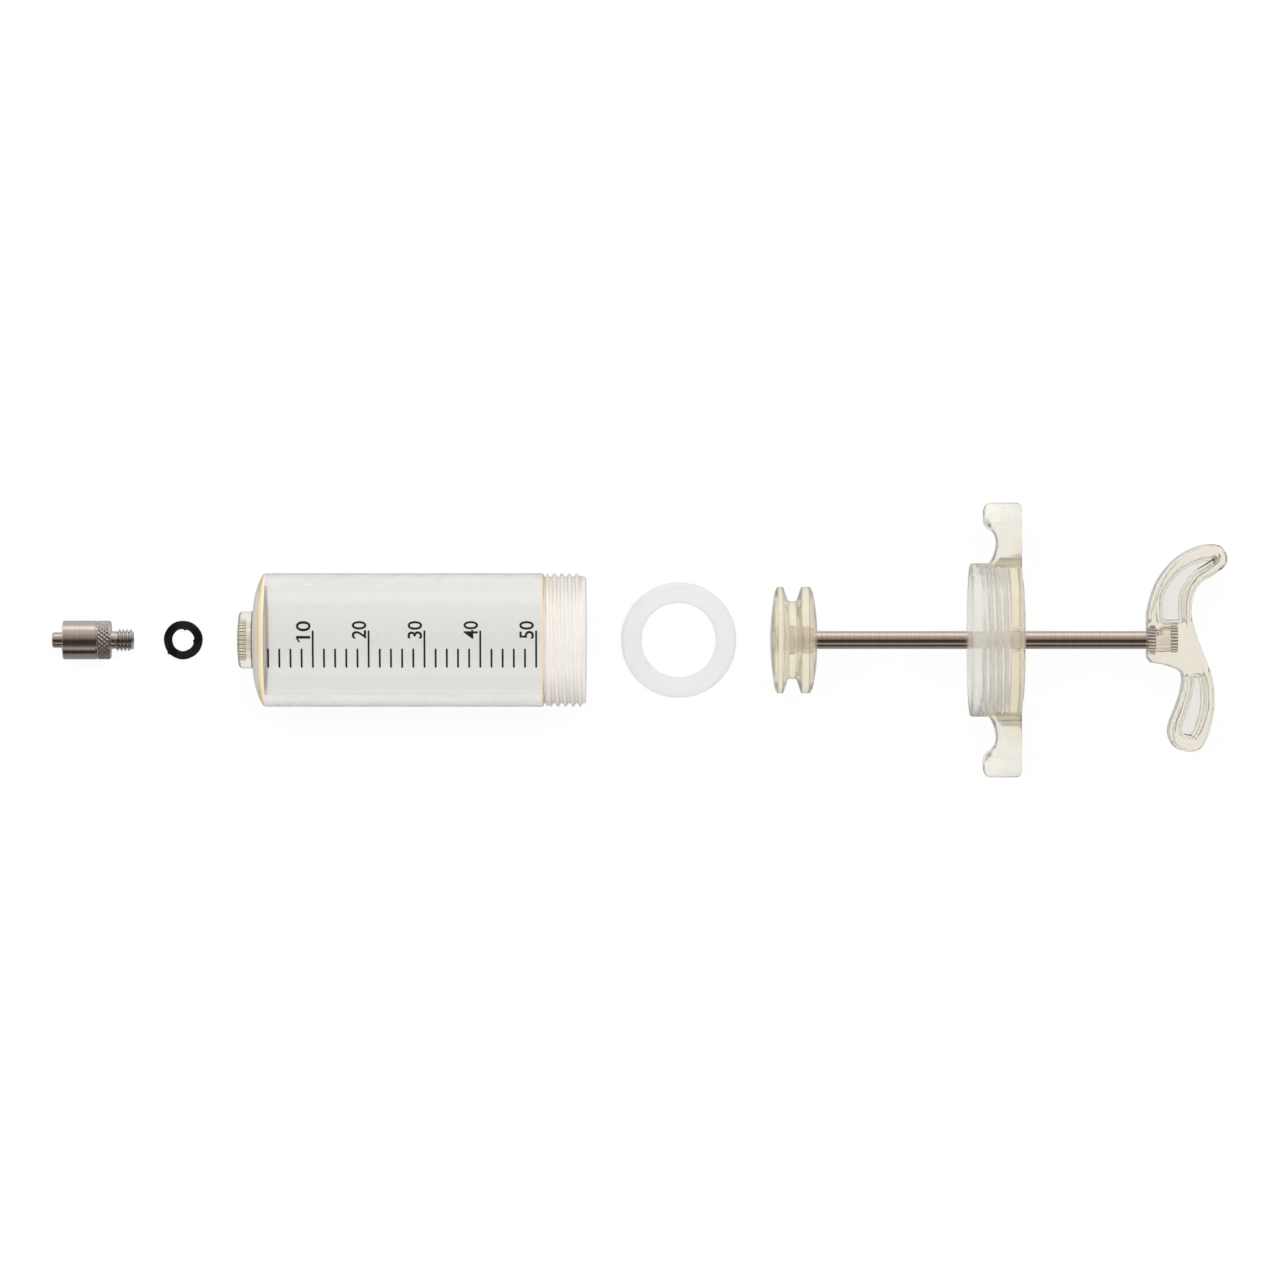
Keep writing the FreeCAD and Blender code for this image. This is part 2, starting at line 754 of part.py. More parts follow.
doc.recompute()
for obj in doc.Objects:
    if "Invalid" in obj.State or "Error" in obj.State:
        raise RuntimeError(f"{obj.Name} failed: {obj.State}")
for node in NODES:
    if node.Shape.isNull() or not node.Shape.isValid():
        raise RuntimeError(f"{node.Label} has no valid shape")
    if len(node.Shape.Solids) != 1:
        raise RuntimeError(f"{node.Label} has {len(node.Shape.Solids)} solids, not one")

os.makedirs("parts", exist_ok=True)
for node in NODES:
    node.Shape.exportStep(f"parts/{node.Label}.step")
    box = node.Shape.BoundBox
    print(f"{node.Label:12s} volume {node.Shape.Volume:9.1f}  "
          f"x {box.XMin:8.2f} {box.XMax:8.2f}  y {box.YMin:7.2f} {box.YMax:7.2f}  "
          f"z {box.ZMin:6.2f} {box.ZMax:6.2f}")
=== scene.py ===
import math

import bmesh
import bpy
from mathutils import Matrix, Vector


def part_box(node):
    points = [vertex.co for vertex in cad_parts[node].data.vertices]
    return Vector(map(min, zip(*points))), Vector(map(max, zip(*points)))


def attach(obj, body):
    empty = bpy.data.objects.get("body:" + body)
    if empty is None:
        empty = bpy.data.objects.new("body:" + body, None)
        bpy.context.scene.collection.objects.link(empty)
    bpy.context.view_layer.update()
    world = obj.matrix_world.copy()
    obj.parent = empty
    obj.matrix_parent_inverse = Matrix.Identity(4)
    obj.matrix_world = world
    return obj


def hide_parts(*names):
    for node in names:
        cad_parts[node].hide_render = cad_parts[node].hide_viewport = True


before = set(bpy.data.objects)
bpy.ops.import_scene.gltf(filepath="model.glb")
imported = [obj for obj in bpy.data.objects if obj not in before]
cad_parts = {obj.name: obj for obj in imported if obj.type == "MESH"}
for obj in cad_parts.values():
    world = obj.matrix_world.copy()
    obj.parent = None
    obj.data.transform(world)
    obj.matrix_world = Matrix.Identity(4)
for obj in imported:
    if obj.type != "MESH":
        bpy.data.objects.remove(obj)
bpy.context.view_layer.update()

MM = 0.001


# Studio: a camera straight above the row, a white laminate table, a room with pale and dark
# sides for the metal, and two soft lamps. The table shows white to the camera, and a little
# darker in metal and through plastic, which see the part of it that they shade.

def linear(hex_colour, alpha=1.0):
    """An sRGB hex colour as the linear numbers that Blender's sockets take."""
    channels = [int(hex_colour[i:i + 2], 16) / 255 for i in (1, 3, 5)]
    return [c / 12.92 if c <= 0.04045 else ((c + 0.055) / 1.055) ** 2.4 for c in channels] + [alpha]


def add(tree, kind, inputs=None, **settings):
    """Adds a node, sets its properties, and fills or links its inputs.

    A node that is given as an input stands for its first output.
    """
    node = tree.nodes.new(kind)
    for name, value in settings.items():
        setattr(node, name, value)
    for key, value in (inputs or {}).items():
        if isinstance(value, bpy.types.Node):
            value = value.outputs[0]
        if isinstance(value, bpy.types.NodeSocket):
            tree.links.new(value, node.inputs[key])
        else:
            node.inputs[key].default_value = value
    return node


def new_material(name):
    """A material with an empty tree."""
    material = bpy.data.materials.new(name)
    material.use_nodes = True
    material.node_tree.nodes.clear()
    return material, material.node_tree


scene = bpy.context.scene
scene.view_settings.view_transform = "Standard"

PICTURE_WIDTH = 340.48 * MM
PICTURE_CENTRE_X = 0.79 * MM
ROD_HEIGHT = 20.4 * MM
LENS = 220.0
SENSOR = 36.0
camera_data = bpy.data.cameras.new("camera")
camera_data.lens = LENS
camera_data.sensor_width = SENSOR
camera = bpy.data.objects.new("camera", camera_data)
camera.location = (PICTURE_CENTRE_X, 0.0, ROD_HEIGHT + PICTURE_WIDTH * LENS / SENSOR)
scene.collection.objects.link(camera)
scene.camera = camera

# Each stop of the room is an angle from overhead, towards +Y where it is positive, and a colour
ROOM = [(-90, "#342D2A"), (-72, "#3A3330"), (-66, "#463E39"), (-60, "#8E8681"), (-54, "#A8A09B"),
        (-46, "#A09893"), (-38, "#625A55"), (-28, "#463E3A"), (-16, "#3C3430"), (-3, "#3A322E"),
        (4, "#645B55"), (14, "#8C837B"), (31, "#A39A92"), (43, "#BDB5AE"), (62, "#C8C1BA"),
        (70, "#FFFEFC"), (90, "#FFFFFF")]
ROOM_STRENGTH = 1.2
ROOM_IN_PLASTIC = 0.3
world = bpy.data.worlds.new("room")
scene.world = world
world.use_nodes = True
room = world.node_tree
room.nodes.clear()
towards = add(room, "ShaderNodeSeparateXYZ", {0: add(room, "ShaderNodeTexCoord").outputs["Generated"]})
tilt = add(room, "ShaderNodeMath", {0: towards.outputs["Y"], 1: towards.outputs["Z"]},
           operation="ARCTAN2")
share = add(room, "ShaderNodeMapRange", {
    "Value": tilt, "From Min": -math.pi / 2, "From Max": math.pi / 2})
ramp = add(room, "ShaderNodeValToRGB", {"Fac": share})
stops = ramp.color_ramp.elements
for index, (angle, colour) in enumerate(ROOM):
    stop = stops[index] if index < len(stops) else stops.new(1.0)
    stop.position = (angle + 90) / 180
    stop.color = linear(colour)
rays = add(room, "ShaderNodeLightPath").outputs
reflected = add(room, "ShaderNodeMath", {0: rays["Glossy Depth"], 1: 0.5}, operation="GREATER_THAN")
dimmed = add(room, "ShaderNodeMath", {0: reflected, 1: ROOM_IN_PLASTIC}, operation="MULTIPLY")
kept = add(room, "ShaderNodeMath", {0: 1.0, 1: dimmed}, operation="SUBTRACT")
through = add(room, "ShaderNodeMath", {0: rays["Is Transmission Ray"], 1: kept}, operation="MULTIPLY")
clear_view = add(room, "ShaderNodeMath", {0: rays["Is Camera Ray"], 1: through}, operation="MAXIMUM")
seen = add(room, "ShaderNodeBackground", {"Color": linear("#FFFFFF"), "Strength": 1.0})
lit = add(room, "ShaderNodeBackground", {"Color": ramp.outputs["Color"], "Strength": ROOM_STRENGTH})
either = add(room, "ShaderNodeMixShader", {0: clear_view, 1: lit, 2: seen})
add(room, "ShaderNodeOutputWorld", {"Surface": either})

TABLE_SIZE = 6.0
TABLE_DROP = 0.02 * MM
TABLE_SHOWN_SHARE = 0.92
SHADE_IN_METAL = 0.6
SHADE_LEAN = 0.22
SHADE_UNDER_PLASTIC = 0.09
# Smooth white laminate has no grain, so the table is plain white wherever nothing shades it
table_material, tree = new_material("white_laminate")
rays = add(tree, "ShaderNodeLightPath").outputs
shown = add(tree, "ShaderNodeMath", {0: rays["Is Camera Ray"], 1: rays["Is Glossy Ray"]},
            operation="MAXIMUM")
shown = add(tree, "ShaderNodeMath", {0: shown, 1: rays["Is Transmission Ray"]}, operation="MAXIMUM")
shown = add(tree, "ShaderNodeMath", {0: shown, 1: TABLE_SHOWN_SHARE}, operation="MULTIPLY")
in_metal = add(tree, "ShaderNodeMath", {0: rays["Is Glossy Ray"], 1: rays["Is Transmission Ray"]},
               operation="SUBTRACT", use_clamp=True)
back = add(tree, "ShaderNodeSeparateXYZ", {0: add(tree, "ShaderNodeNewGeometry").outputs["Incoming"]})
one_sided = add(tree, "ShaderNodeMath", {0: back.outputs["Y"], 1: SHADE_LEAN, 2: SHADE_IN_METAL},
                operation="MULTIPLY_ADD")
metal_shade = add(tree, "ShaderNodeMath", {0: in_metal, 1: one_sided}, operation="MULTIPLY")
plastic_shade = add(tree, "ShaderNodeMath", {0: rays["Is Transmission Ray"],
                                             1: SHADE_UNDER_PLASTIC}, operation="MULTIPLY")
shade = add(tree, "ShaderNodeMath", {0: metal_shade, 1: plastic_shade})
strength = add(tree, "ShaderNodeMath", {0: 1.0, 1: shade}, operation="SUBTRACT")
lit = add(tree, "ShaderNodeBsdfDiffuse", {"Color": linear("#FFFFFF")})
white = add(tree, "ShaderNodeEmission", {"Color": linear("#FFFFFF"), "Strength": strength})
top = add(tree, "ShaderNodeMixShader", {0: shown, 1: lit, 2: white})
add(tree, "ShaderNodeOutputMaterial", {"Surface": top})
bpy.ops.mesh.primitive_plane_add(size=TABLE_SIZE, location=(0, 0, -TABLE_DROP))
table = bpy.context.object
table.name = "table_top"
table.data.materials.append(table_material)

LAMP_LENGTH = 1.8
LAMP_WIDTH = 0.8
# Each lamp is a name, its place, its turn about X in degrees and its power in watts
for name, place, turn, power in [("softbox", (0, 0.3, 1.25), -13.5, 17.5),
                                 ("fill", (0, -1.1, 0.5), 65.5, 9.0)]:
    lamp_data = bpy.data.lights.new(name, "AREA")
    lamp_data.shape = "RECTANGLE"
    lamp_data.size = LAMP_LENGTH
    lamp_data.size_y = LAMP_WIDTH
    lamp_data.energy = power
    lamp = bpy.data.objects.new(name, lamp_data)
    lamp.location = place
    lamp.rotation_euler = (math.radians(turn), 0, 0)
    lamp.visible_glossy = False
    lamp.visible_transmission = False
    scene.collection.objects.link(lamp)


# Luer tip: one piece of brass turned on a lathe and nickel plated, with a tapered nipple in
# the recess of a collar, a diamond-knurled grip, a neck and an M6 stud that screws into the
# barrel. It lies on its collar.

ARC_STEPS = 6
HOLD_SHARE = 0.3
SHARP_TURN = math.radians(32)


def rounded(corners):
    """Section points in mm. A corner is (x, r), or (x, r, radius) where it is rounded."""
    points = []
    for index, corner in enumerate(corners):
        here = Vector(corner[:2])
        if len(corner) == 2:
            points.append(here)
            continue
        radius = corner[2]
        before = (Vector(corners[index - 1][:2]) - here).normalized()
        after = (Vector(corners[(index + 1) % len(corners)][:2]) - here).normalized()
        half = before.angle(after) / 2
        reach = radius / math.tan(half)
        centre = here + (before + after).normalized() * radius / math.sin(half)
        first = here + before * reach - centre
        last = here + after * reach - centre
        sweep = math.pi - 2 * half
        points.append(here + before * (reach + radius * HOLD_SHARE))
        for step in range(ARC_STEPS + 1):
            done = sweep * step / ARC_STEPS
            points.append(centre + (first * math.sin(sweep - done) + last * math.sin(done))
                          / math.sin(sweep))
        points.append(here + after * (reach + radius * HOLD_SHARE))
    return points


def evenly(start, end, step):
    """Section points from start to end, about a step apart, both ends included."""
    start, end = Vector(start), Vector(end)
    count = max(1, round((end - start).length / step))
    return [start.lerp(end, i / count) for i in range(count + 1)]


def lathe(name, corners, start, height, material, sides=128):
    """A piece turned about an axis along X, from the corners of a section that closes on itself.

    The corners are in mm, from the piece's front end and its axis. start and height are metres.
    """
    mesh = bmesh.new()
    rings = []
    for along, radius in rounded(corners):
        x = start + along * MM
        if radius < 1e-6:
            rings.append([mesh.verts.new((x, 0, height))])
            continue
        ring = []
        for side in range(sides):
            angle = 2 * math.pi * side / sides
            ring.append(mesh.verts.new((x, radius * MM * math.cos(angle),
                                        height + radius * MM * math.sin(angle))))
        rings.append(ring)
    for index, ring in enumerate(rings):
        after = rings[(index + 1) % len(rings)]
        for side in range(sides):
            beside = (side + 1) % sides
            if len(ring) == 1 and len(after) == 1:
                break
            if len(ring) == 1:
                mesh.faces.new((ring[0], after[beside], after[side]))
            elif len(after) == 1:
                mesh.faces.new((ring[side], ring[beside], after[0]))
            else:
                mesh.faces.new((ring[side], ring[beside], after[beside], after[side]))
    return finish_mesh(name, mesh, material)


def finish_mesh(name, mesh, material):
    """Turns a bmesh into a smooth-shaded object with its hard edges kept sharp."""
    bmesh.ops.recalc_face_normals(mesh, faces=mesh.faces)
    for face in mesh.faces:
        face.smooth = True
    for edge in mesh.edges:
        if edge.is_manifold and edge.calc_face_angle() > SHARP_TURN:
            edge.smooth = False
    data = bpy.data.meshes.new(name)
    mesh.to_mesh(data)
    mesh.free()
    data.materials.append(material)
    piece = bpy.data.objects.new(name, data)
    scene.collection.objects.link(piece)
    return piece


def bake(piece):
    """Makes the result of a piece's modifiers its plain mesh."""
    graph = bpy.context.evaluated_depsgraph_get()
    data = bpy.data.meshes.new_from_object(piece.evaluated_get(graph))
    piece.modifiers.clear()
    piece.data = data


def run_tree(piece, tree, inputs):
    """Runs a node tree on a piece, with its named inputs, and keeps the result."""
    modifier = piece.modifiers.new(tree.name, "NODES")
    modifier.node_group = tree
    for item in tree.interface.items_tree:
        if item.in_out == "INPUT" and item.name in inputs:
            modifier[item.identifier] = inputs[item.name]
    bake(piece)


def new_tree(name, inputs):
    """A geometry tree with named inputs. Returns the tree and those inputs."""
    tree = bpy.data.node_groups.new(name, "GeometryNodeTree")
    tree.interface.new_socket("Geometry", in_out="INPUT", socket_type="NodeSocketGeometry")
    for label in inputs:
        tree.interface.new_socket(label, in_out="INPUT", socket_type="NodeSocketFloat")
    tree.interface.new_socket("Material", in_out="INPUT", socket_type="NodeSocketMaterial")
    tree.interface.new_socket("Geometry", in_out="OUTPUT", socket_type="NodeSocketGeometry")
    return tree, add(tree, "NodeGroupInput").outputs


def end_tree(tree, given, geometry):
    """Ends a geometry tree with real geometry in its given material."""
    real = add(tree, "GeometryNodeRealizeInstances", {0: geometry})
    dressed = add(tree, "GeometryNodeSetMaterial", {"Geometry": real, "Material": given["Material"]})
    add(tree, "NodeGroupOutput", {0: dressed})


# Ridges round or along a turned piece: a thread has one ridge and advances as it turns, a
# straight knurl has many that don't advance, and a diamond knurl is two that cross
ridges, given = new_tree("turned_ridges", [
    "Axis Height", "From", "To", "Run Out", "Low Radius", "High Radius",
    "Depth", "Ridges", "Waves Along", "Flatness", "Crossed"])
at = add(ridges, "ShaderNodeSeparateXYZ", {0: add(ridges, "GeometryNodeInputPosition")})
above = add(ridges, "ShaderNodeMath", {0: at.outputs["Z"], 1: given["Axis Height"]},
            operation="SUBTRACT")
arm = add(ridges, "ShaderNodeCombineXYZ", {1: at.outputs["Y"], 2: above})
radius = add(ridges, "ShaderNodeVectorMath", {0: arm}, operation="LENGTH")
angle = add(ridges, "ShaderNodeMath", {0: above, 1: at.outputs["Y"]}, operation="ARCTAN2")
around = add(ridges, "ShaderNodeMath", {0: angle, 1: given["Ridges"]}, operation="MULTIPLY")
travelled = add(ridges, "ShaderNodeMath", {0: at.outputs["X"], 1: given["From"]}, operation="SUBTRACT")
along = add(ridges, "ShaderNodeMath", {0: travelled, 1: given["Waves Along"]}, operation="MULTIPLY")
along = add(ridges, "ShaderNodeMath", {0: along, 1: 2 * math.pi}, operation="MULTIPLY")
waves = []
for operation in ("SUBTRACT", "ADD"):
    phase = add(ridges, "ShaderNodeMath", {0: along, 1: around}, operation=operation)
    wave = add(ridges, "ShaderNodeMath", {0: phase}, operation="COSINE")
    wave = add(ridges, "ShaderNodeMath", {0: wave, 1: given["Flatness"]}, operation="MULTIPLY")
    waves.append(add(ridges, "ShaderNodeMapRange", {
        "Value": wave, "From Min": -1.0, "From Max": 1.0}, clamp=True,
        interpolation_type="SMOOTHSTEP"))
second = add(ridges, "ShaderNodeMapRange", {
    "Value": given["Crossed"], "To Min": 1.0, "To Max": waves[1]})
crest = add(ridges, "ShaderNodeMath", {0: waves[0], 1: second}, operation="MULTIPLY")
valley = add(ridges, "ShaderNodeMath", {0: 1.0, 1: crest}, operation="SUBTRACT")
left = add(ridges, "ShaderNodeMath", {0: given["To"], 1: at.outputs["X"]}, operation="SUBTRACT")
nearest_end = add(ridges, "ShaderNodeMath", {0: travelled, 1: left}, operation="MINIMUM")
fade = add(ridges, "ShaderNodeMapRange", {
    "Value": nearest_end, "From Max": given["Run Out"]}, clamp=True)
outside = add(ridges, "ShaderNodeMath", {0: radius.outputs["Value"], 1: given["Low Radius"]},
              operation="GREATER_THAN")
inside = add(ridges, "ShaderNodeMath", {0: radius.outputs["Value"], 1: given["High Radius"]},
             operation="LESS_THAN")
sink = valley
for factor in (fade, outside, inside, given["Depth"]):
    sink = add(ridges, "ShaderNodeMath", {0: sink, 1: factor}, operation="MULTIPLY")
sunk = add(ridges, "ShaderNodeMath", {0: radius.outputs["Value"], 1: sink}, operation="SUBTRACT")
ratio = add(ridges, "ShaderNodeMath", {0: sunk, 1: radius.outputs["Value"]}, operation="DIVIDE")
arm = add(ridges, "ShaderNodeVectorMath", {0: arm, "Scale": ratio}, operation="SCALE")
axis_point = add(ridges, "ShaderNodeCombineXYZ", {0: at.outputs["X"], 2: given["Axis Height"]})
moved = add(ridges, "ShaderNodeVectorMath", {0: arm, 1: axis_point})
cut = add(ridges, "GeometryNodeSetPosition", {"Geometry": given["Geometry"], "Position": moved})
zone = add(ridges, "ShaderNodeMath", {0: outside, 1: inside}, operation="MULTIPLY")
zone = add(ridges, "ShaderNodeMath", {0: zone, 1: fade}, operation="MULTIPLY")
groove = add(ridges, "ShaderNodeMath", {0: zone, 1: valley}, operation="MULTIPLY")
marked = cut
for label, amount in (("frosted", zone), ("groove", groove)):
    before = add(ridges, "GeometryNodeInputNamedAttribute", {"Name": label}, data_type="FLOAT")
    total = add(ridges, "ShaderNodeMath", {0: before.outputs["Attribute"], 1: amount},
                operation="MAXIMUM")
    marked = add(ridges, "GeometryNodeStoreNamedAttribute", {
        "Geometry": marked, "Name": label, "Value": total},
        data_type="FLOAT", domain="POINT")
end_tree(ridges, given, marked)


def cut_ridges(piece, height, start, end, radii, depth, count=1, pitch=0.0, flatness=1.6,
               run_out=0.4, crossed=0.0):
    """Cuts a thread or knurl into the surface between two radii. mm, but height and ends in metres.

    pitch is the way along X from one ridge to the next, or 0 for ridges that run straight.
    """
    run_tree(piece, ridges, {
        "Axis Height": height, "From": start, "To": end, "Run Out": run_out * MM,
        "Low Radius": radii[0] * MM, "High Radius": radii[1] * MM, "Depth": depth * MM,
        "Ridges": float(count), "Waves Along": 1 / (pitch * MM) if pitch else 0.0,
        "Flatness": flatness, "Crossed": crossed, "Material": piece.data.materials[0]})


NIPPLE = (2.05, 2.9)
COLLAR_RADIUS = 5.2
COLLAR_END = 12.15
KNURL_END = 15.75
NECK = (2.35, 17.05)
STUD = (2.9, 21.75)
LOCK = (4.1, 10.3)
BORE = 1.1
TIP_CHAMFER = 0.35
KNURL_GROOVE = 0.3
TIP_KNURL_DEPTH = 0.28
TIP_KNURL_TEETH = 28
TIP_KNURL_PITCH = 1.4
STUD_CHAMFER = 0.45
STUD_PITCH = 1.0
STUD_DEPTH = 0.58
# Section points stand this close where ridges are cut
RIDGE_STEP = 0.06

# Satin nickel plate shows the fine rings that the lathe left, drawn 0.15 mm apart, about
# three times as coarse as real ones so that they show. A noise's scale is written as the
# number of its grains in a millimetre, over MM.
TURNING_SPACING = 0.15 * MM


def plated_metal(name, colour, darker, roughness, rings, groove_shade_share=0.3, groove_shade_reach=0.95,
                 groove_shade_colour="#4E4640"):
    """Metal turned on a lathe about X: faint rings, a fine grain, and painted shade low in its grooves."""
    material, tree = new_material(name)
    place = add(tree, "ShaderNodeTexCoord").outputs["Object"]
    ring = add(tree, "ShaderNodeMapping", {0: place, "Scale": (1 / rings, 0.06 / MM, 0.06 / MM)})
    lines = add(tree, "ShaderNodeTexNoise", {"Vector": ring, "Scale": 1.0, "Detail": 2.0})
    grit = add(tree, "ShaderNodeTexNoise", {"Vector": place, "Scale": 3.5 / MM, "Detail": 3.0})
    both = add(tree, "ShaderNodeMix", {0: 0.45, 2: lines.outputs["Fac"], 3: grit.outputs["Fac"]})
    tone = add(tree, "ShaderNodeMapRange", {"Value": both, "From Min": 0.35, "From Max": 0.65})
    mix = add(tree, "ShaderNodeMix", {0: tone, 6: linear(darker), 7: linear(colour)}, data_type="RGBA")
    # Painted shade: the colour darkens towards a dark colour where a ridge's valley is deep, standing in
    # for the shade between teeth
    groove = add(tree, "ShaderNodeAttribute", attribute_name="groove")
    groove_shade = add(tree, "ShaderNodeMapRange", {"Value": groove.outputs["Fac"], "From Min": groove_shade_reach - 0.6,
                                             "From Max": groove_shade_reach, "To Max": groove_shade_share})
    shade = add(tree, "ShaderNodeMix", {0: groove_shade, 6: mix.outputs[2],
                                        7: linear(groove_shade_colour)}, data_type="RGBA")
    rough = add(tree, "ShaderNodeMapRange", {
        "Value": both, "From Min": 0.3, "From Max": 0.7,
        "To Min": roughness * 1.15, "To Max": roughness * 0.85})
    bump = add(tree, "ShaderNodeBump", {"Height": both, "Strength": 0.15, "Distance": 0.01 * MM})
    metal = add(tree, "ShaderNodeBsdfPrincipled", {
        "Base Color": shade.outputs[2], "Metallic": 1.0, "Roughness": rough,
        "Normal": bump})
    add(tree, "ShaderNodeOutputMaterial", {"Surface": metal})
    return material


# The knurl and the stud get a little painted shade low in their grooves
nickel = plated_metal("satin_nickel_on_brass", "#E6DFD9", "#C6BEB8", 0.14, TURNING_SPACING)
tip_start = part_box("luer_tip")[0][0]
tip_height = COLLAR_RADIUS * MM
tip = lathe("luer_tip_turned", [
    (0, BORE, 0.1),
    (0, NIPPLE[0], 0.5),
    (LOCK[1], NIPPLE[0] + 0.1),
    (LOCK[1], LOCK[0]),
    (NIPPLE[1], LOCK[0], 0.15),
    (NIPPLE[1], COLLAR_RADIUS, 0.35),
    (COLLAR_END - KNURL_GROOVE, COLLAR_RADIUS, 0.08),
    (COLLAR_END - 0.2, COLLAR_RADIUS - KNURL_GROOVE, 0.05),
    (COLLAR_END - 0.05, COLLAR_RADIUS - KNURL_GROOVE, 0.05),
    *evenly((COLLAR_END + 0.05, COLLAR_RADIUS), (KNURL_END - TIP_CHAMFER, COLLAR_RADIUS), RIDGE_STEP),
    (KNURL_END, COLLAR_RADIUS - TIP_CHAMFER),
    (KNURL_END, NECK[0], 0.15),
    (NECK[1], NECK[0]),
    *evenly((NECK[1] + STUD_CHAMFER, STUD[0]), (STUD[1] - STUD_CHAMFER, STUD[0]), 0.05),
    (STUD[1], STUD[0] - 0.5),
    (STUD[1], BORE),
], tip_start, tip_height, nickel, sides=216)
cut_ridges(tip, tip_height, tip_start + (COLLAR_END + 0.05) * MM, tip_start + KNURL_END * MM,
           (COLLAR_RADIUS - 0.4, COLLAR_RADIUS + 0.1), TIP_KNURL_DEPTH, count=TIP_KNURL_TEETH,
           pitch=TIP_KNURL_PITCH, run_out=0.25, crossed=0.7)
cut_ridges(tip, tip_height, tip_start + NECK[1] * MM, tip_start + (STUD[1] + 0.3) * MM,
           (NECK[0] - 0.05, STUD[0] + 0.05), STUD_DEPTH, pitch=STUD_PITCH, run_out=0.2)
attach(tip, "syringe")
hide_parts("luer_tip")


# Washer: a flat ring of black rubber, moulded, with a trace of flash round its edge and two
# small nibs in its hole. It seals the tip against the barrel and lies loose on the table.

WASHER_RADIUS = 5.25
WASHER_HOLE = 2.95
WASHER_THICKNESS = 1.6
EDGE_WAVER = 0.03
EDGE_RIPPLE = 0.02
FLASH_SET_BACK = 0.06
NIB_ANGLES = (math.radians(80), math.radians(-5))
NIB_REACH = 0.35
NIB_WIDTH = math.radians(7)
NICK_ANGLE = math.radians(222)
NICK_REACH = 0.4
NICK_WIDTH = math.radians(5)

# Moulded rubber is matt, with a fine grain and a greyer bloom in patches
rubber, tree = new_material("black_rubber")
place = add(tree, "ShaderNodeTexCoord").outputs["Object"]
grain = add(tree, "ShaderNodeTexNoise", {"Vector": place, "Scale": 1.4 / MM, "Detail": 3.0})
dust = add(tree, "ShaderNodeTexNoise", {"Vector": place, "Scale": 0.35 / MM, "Detail": 2.0})
dusty = add(tree, "ShaderNodeMapRange", {"Value": dust.outputs["Fac"], "From Min": 0.45,
                                         "From Max": 0.75})
tone = add(tree, "ShaderNodeMix", {0: dusty, 6: linear("#0B0A0A"),
                                   7: linear("#1E1C1C")}, data_type="RGBA")
bump = add(tree, "ShaderNodeBump", {"Height": grain.outputs["Fac"], "Strength": 0.5,
                                    "Distance": 0.03 * MM})
matt = add(tree, "ShaderNodeBsdfPrincipled", {
    "Base Color": tone.outputs[2], "Roughness": 0.62, "IOR": 1.5, "Specular IOR Level": 0.2,
    "Normal": bump})
add(tree, "ShaderNodeOutputMaterial", {"Surface": matt})


def flat_ring(name, section, centre, material, sides=144, shape=None):
    """A ring lying on the table, from a closed section of (radius, height) in mm.

    shape(angle, radius, height) may return another radius, for an edge that isn't true.
    """
    mesh = bmesh.new()
    rings = []
    for side in range(sides):
        angle = 2 * math.pi * side / sides
        ring = []
        for radius, up in section:
            r = shape(angle, radius, up) if shape else radius
            ring.append(mesh.verts.new((centre[0] + r * MM * math.cos(angle),
                                        centre[1] + r * MM * math.sin(angle), up * MM)))
        rings.append(ring)
    for side, ring in enumerate(rings):
        beside = rings[(side + 1) % sides]
        for index in range(len(ring)):
            after = (index + 1) % len(ring)
            mesh.faces.new((ring[index], ring[after], beside[after], beside[index]))
    return finish_mesh(name, mesh, material)


def washer_edge(angle, radius, up):
    """The washer's moulded edge: a slow waver, two nibs in the hole and a nick of flash."""
    waver = EDGE_WAVER * math.sin(3 * angle + 1) + EDGE_RIPPLE * math.sin(7 * angle)
    if radius < (WASHER_HOLE + WASHER_RADIUS) / 2:
        nib = sum(math.exp(-(math.remainder(angle - a, 2 * math.pi) / NIB_WIDTH) ** 2)
                  for a in NIB_ANGLES)
        return radius + waver - NIB_REACH * nib * (radius < WASHER_HOLE + 0.2)
    nick = math.exp(-(math.remainder(angle - NICK_ANGLE, 2 * math.pi) / NICK_WIDTH) ** 2)
    flash = NICK_REACH * nick if up < WASHER_THICKNESS / 2 else 0.0
    return radius - FLASH_SET_BACK + waver + flash * (radius > WASHER_RADIUS - 0.2)


def centre_of(node):
    """The middle of a CAD node's box, along and across the row."""
    low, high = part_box(node)
    return (low[0] + high[0]) / 2, (low[1] + high[1]) / 2


washer = flat_ring("tip_washer_rubber", rounded([
    (WASHER_HOLE, 0, 0.2),
    (WASHER_RADIUS, 0, 0.12),
    (WASHER_RADIUS, WASHER_THICKNESS, 0.3),
    (WASHER_HOLE, WASHER_THICKNESS, 0.25),
]), centre_of("tip_washer"), rubber, sides=180, shape=washer_edge)
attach(washer, "syringe")
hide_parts("tip_washer")


# Barrel: one moulding of clear plastic, polished inside and out, yellowed a little with age.
# The boss in front carries the nut, the front swells to a dome, and the rear end has the
# coarse thread that the cap screws on.

PLASTIC_IOR = 1.55
PLASTIC_TINT = "#F3DC5A"
AMBER = "#FBE8BC"
FROSTED_CLEAR = 0.4
FROSTED_ROUGHNESS = 0.24


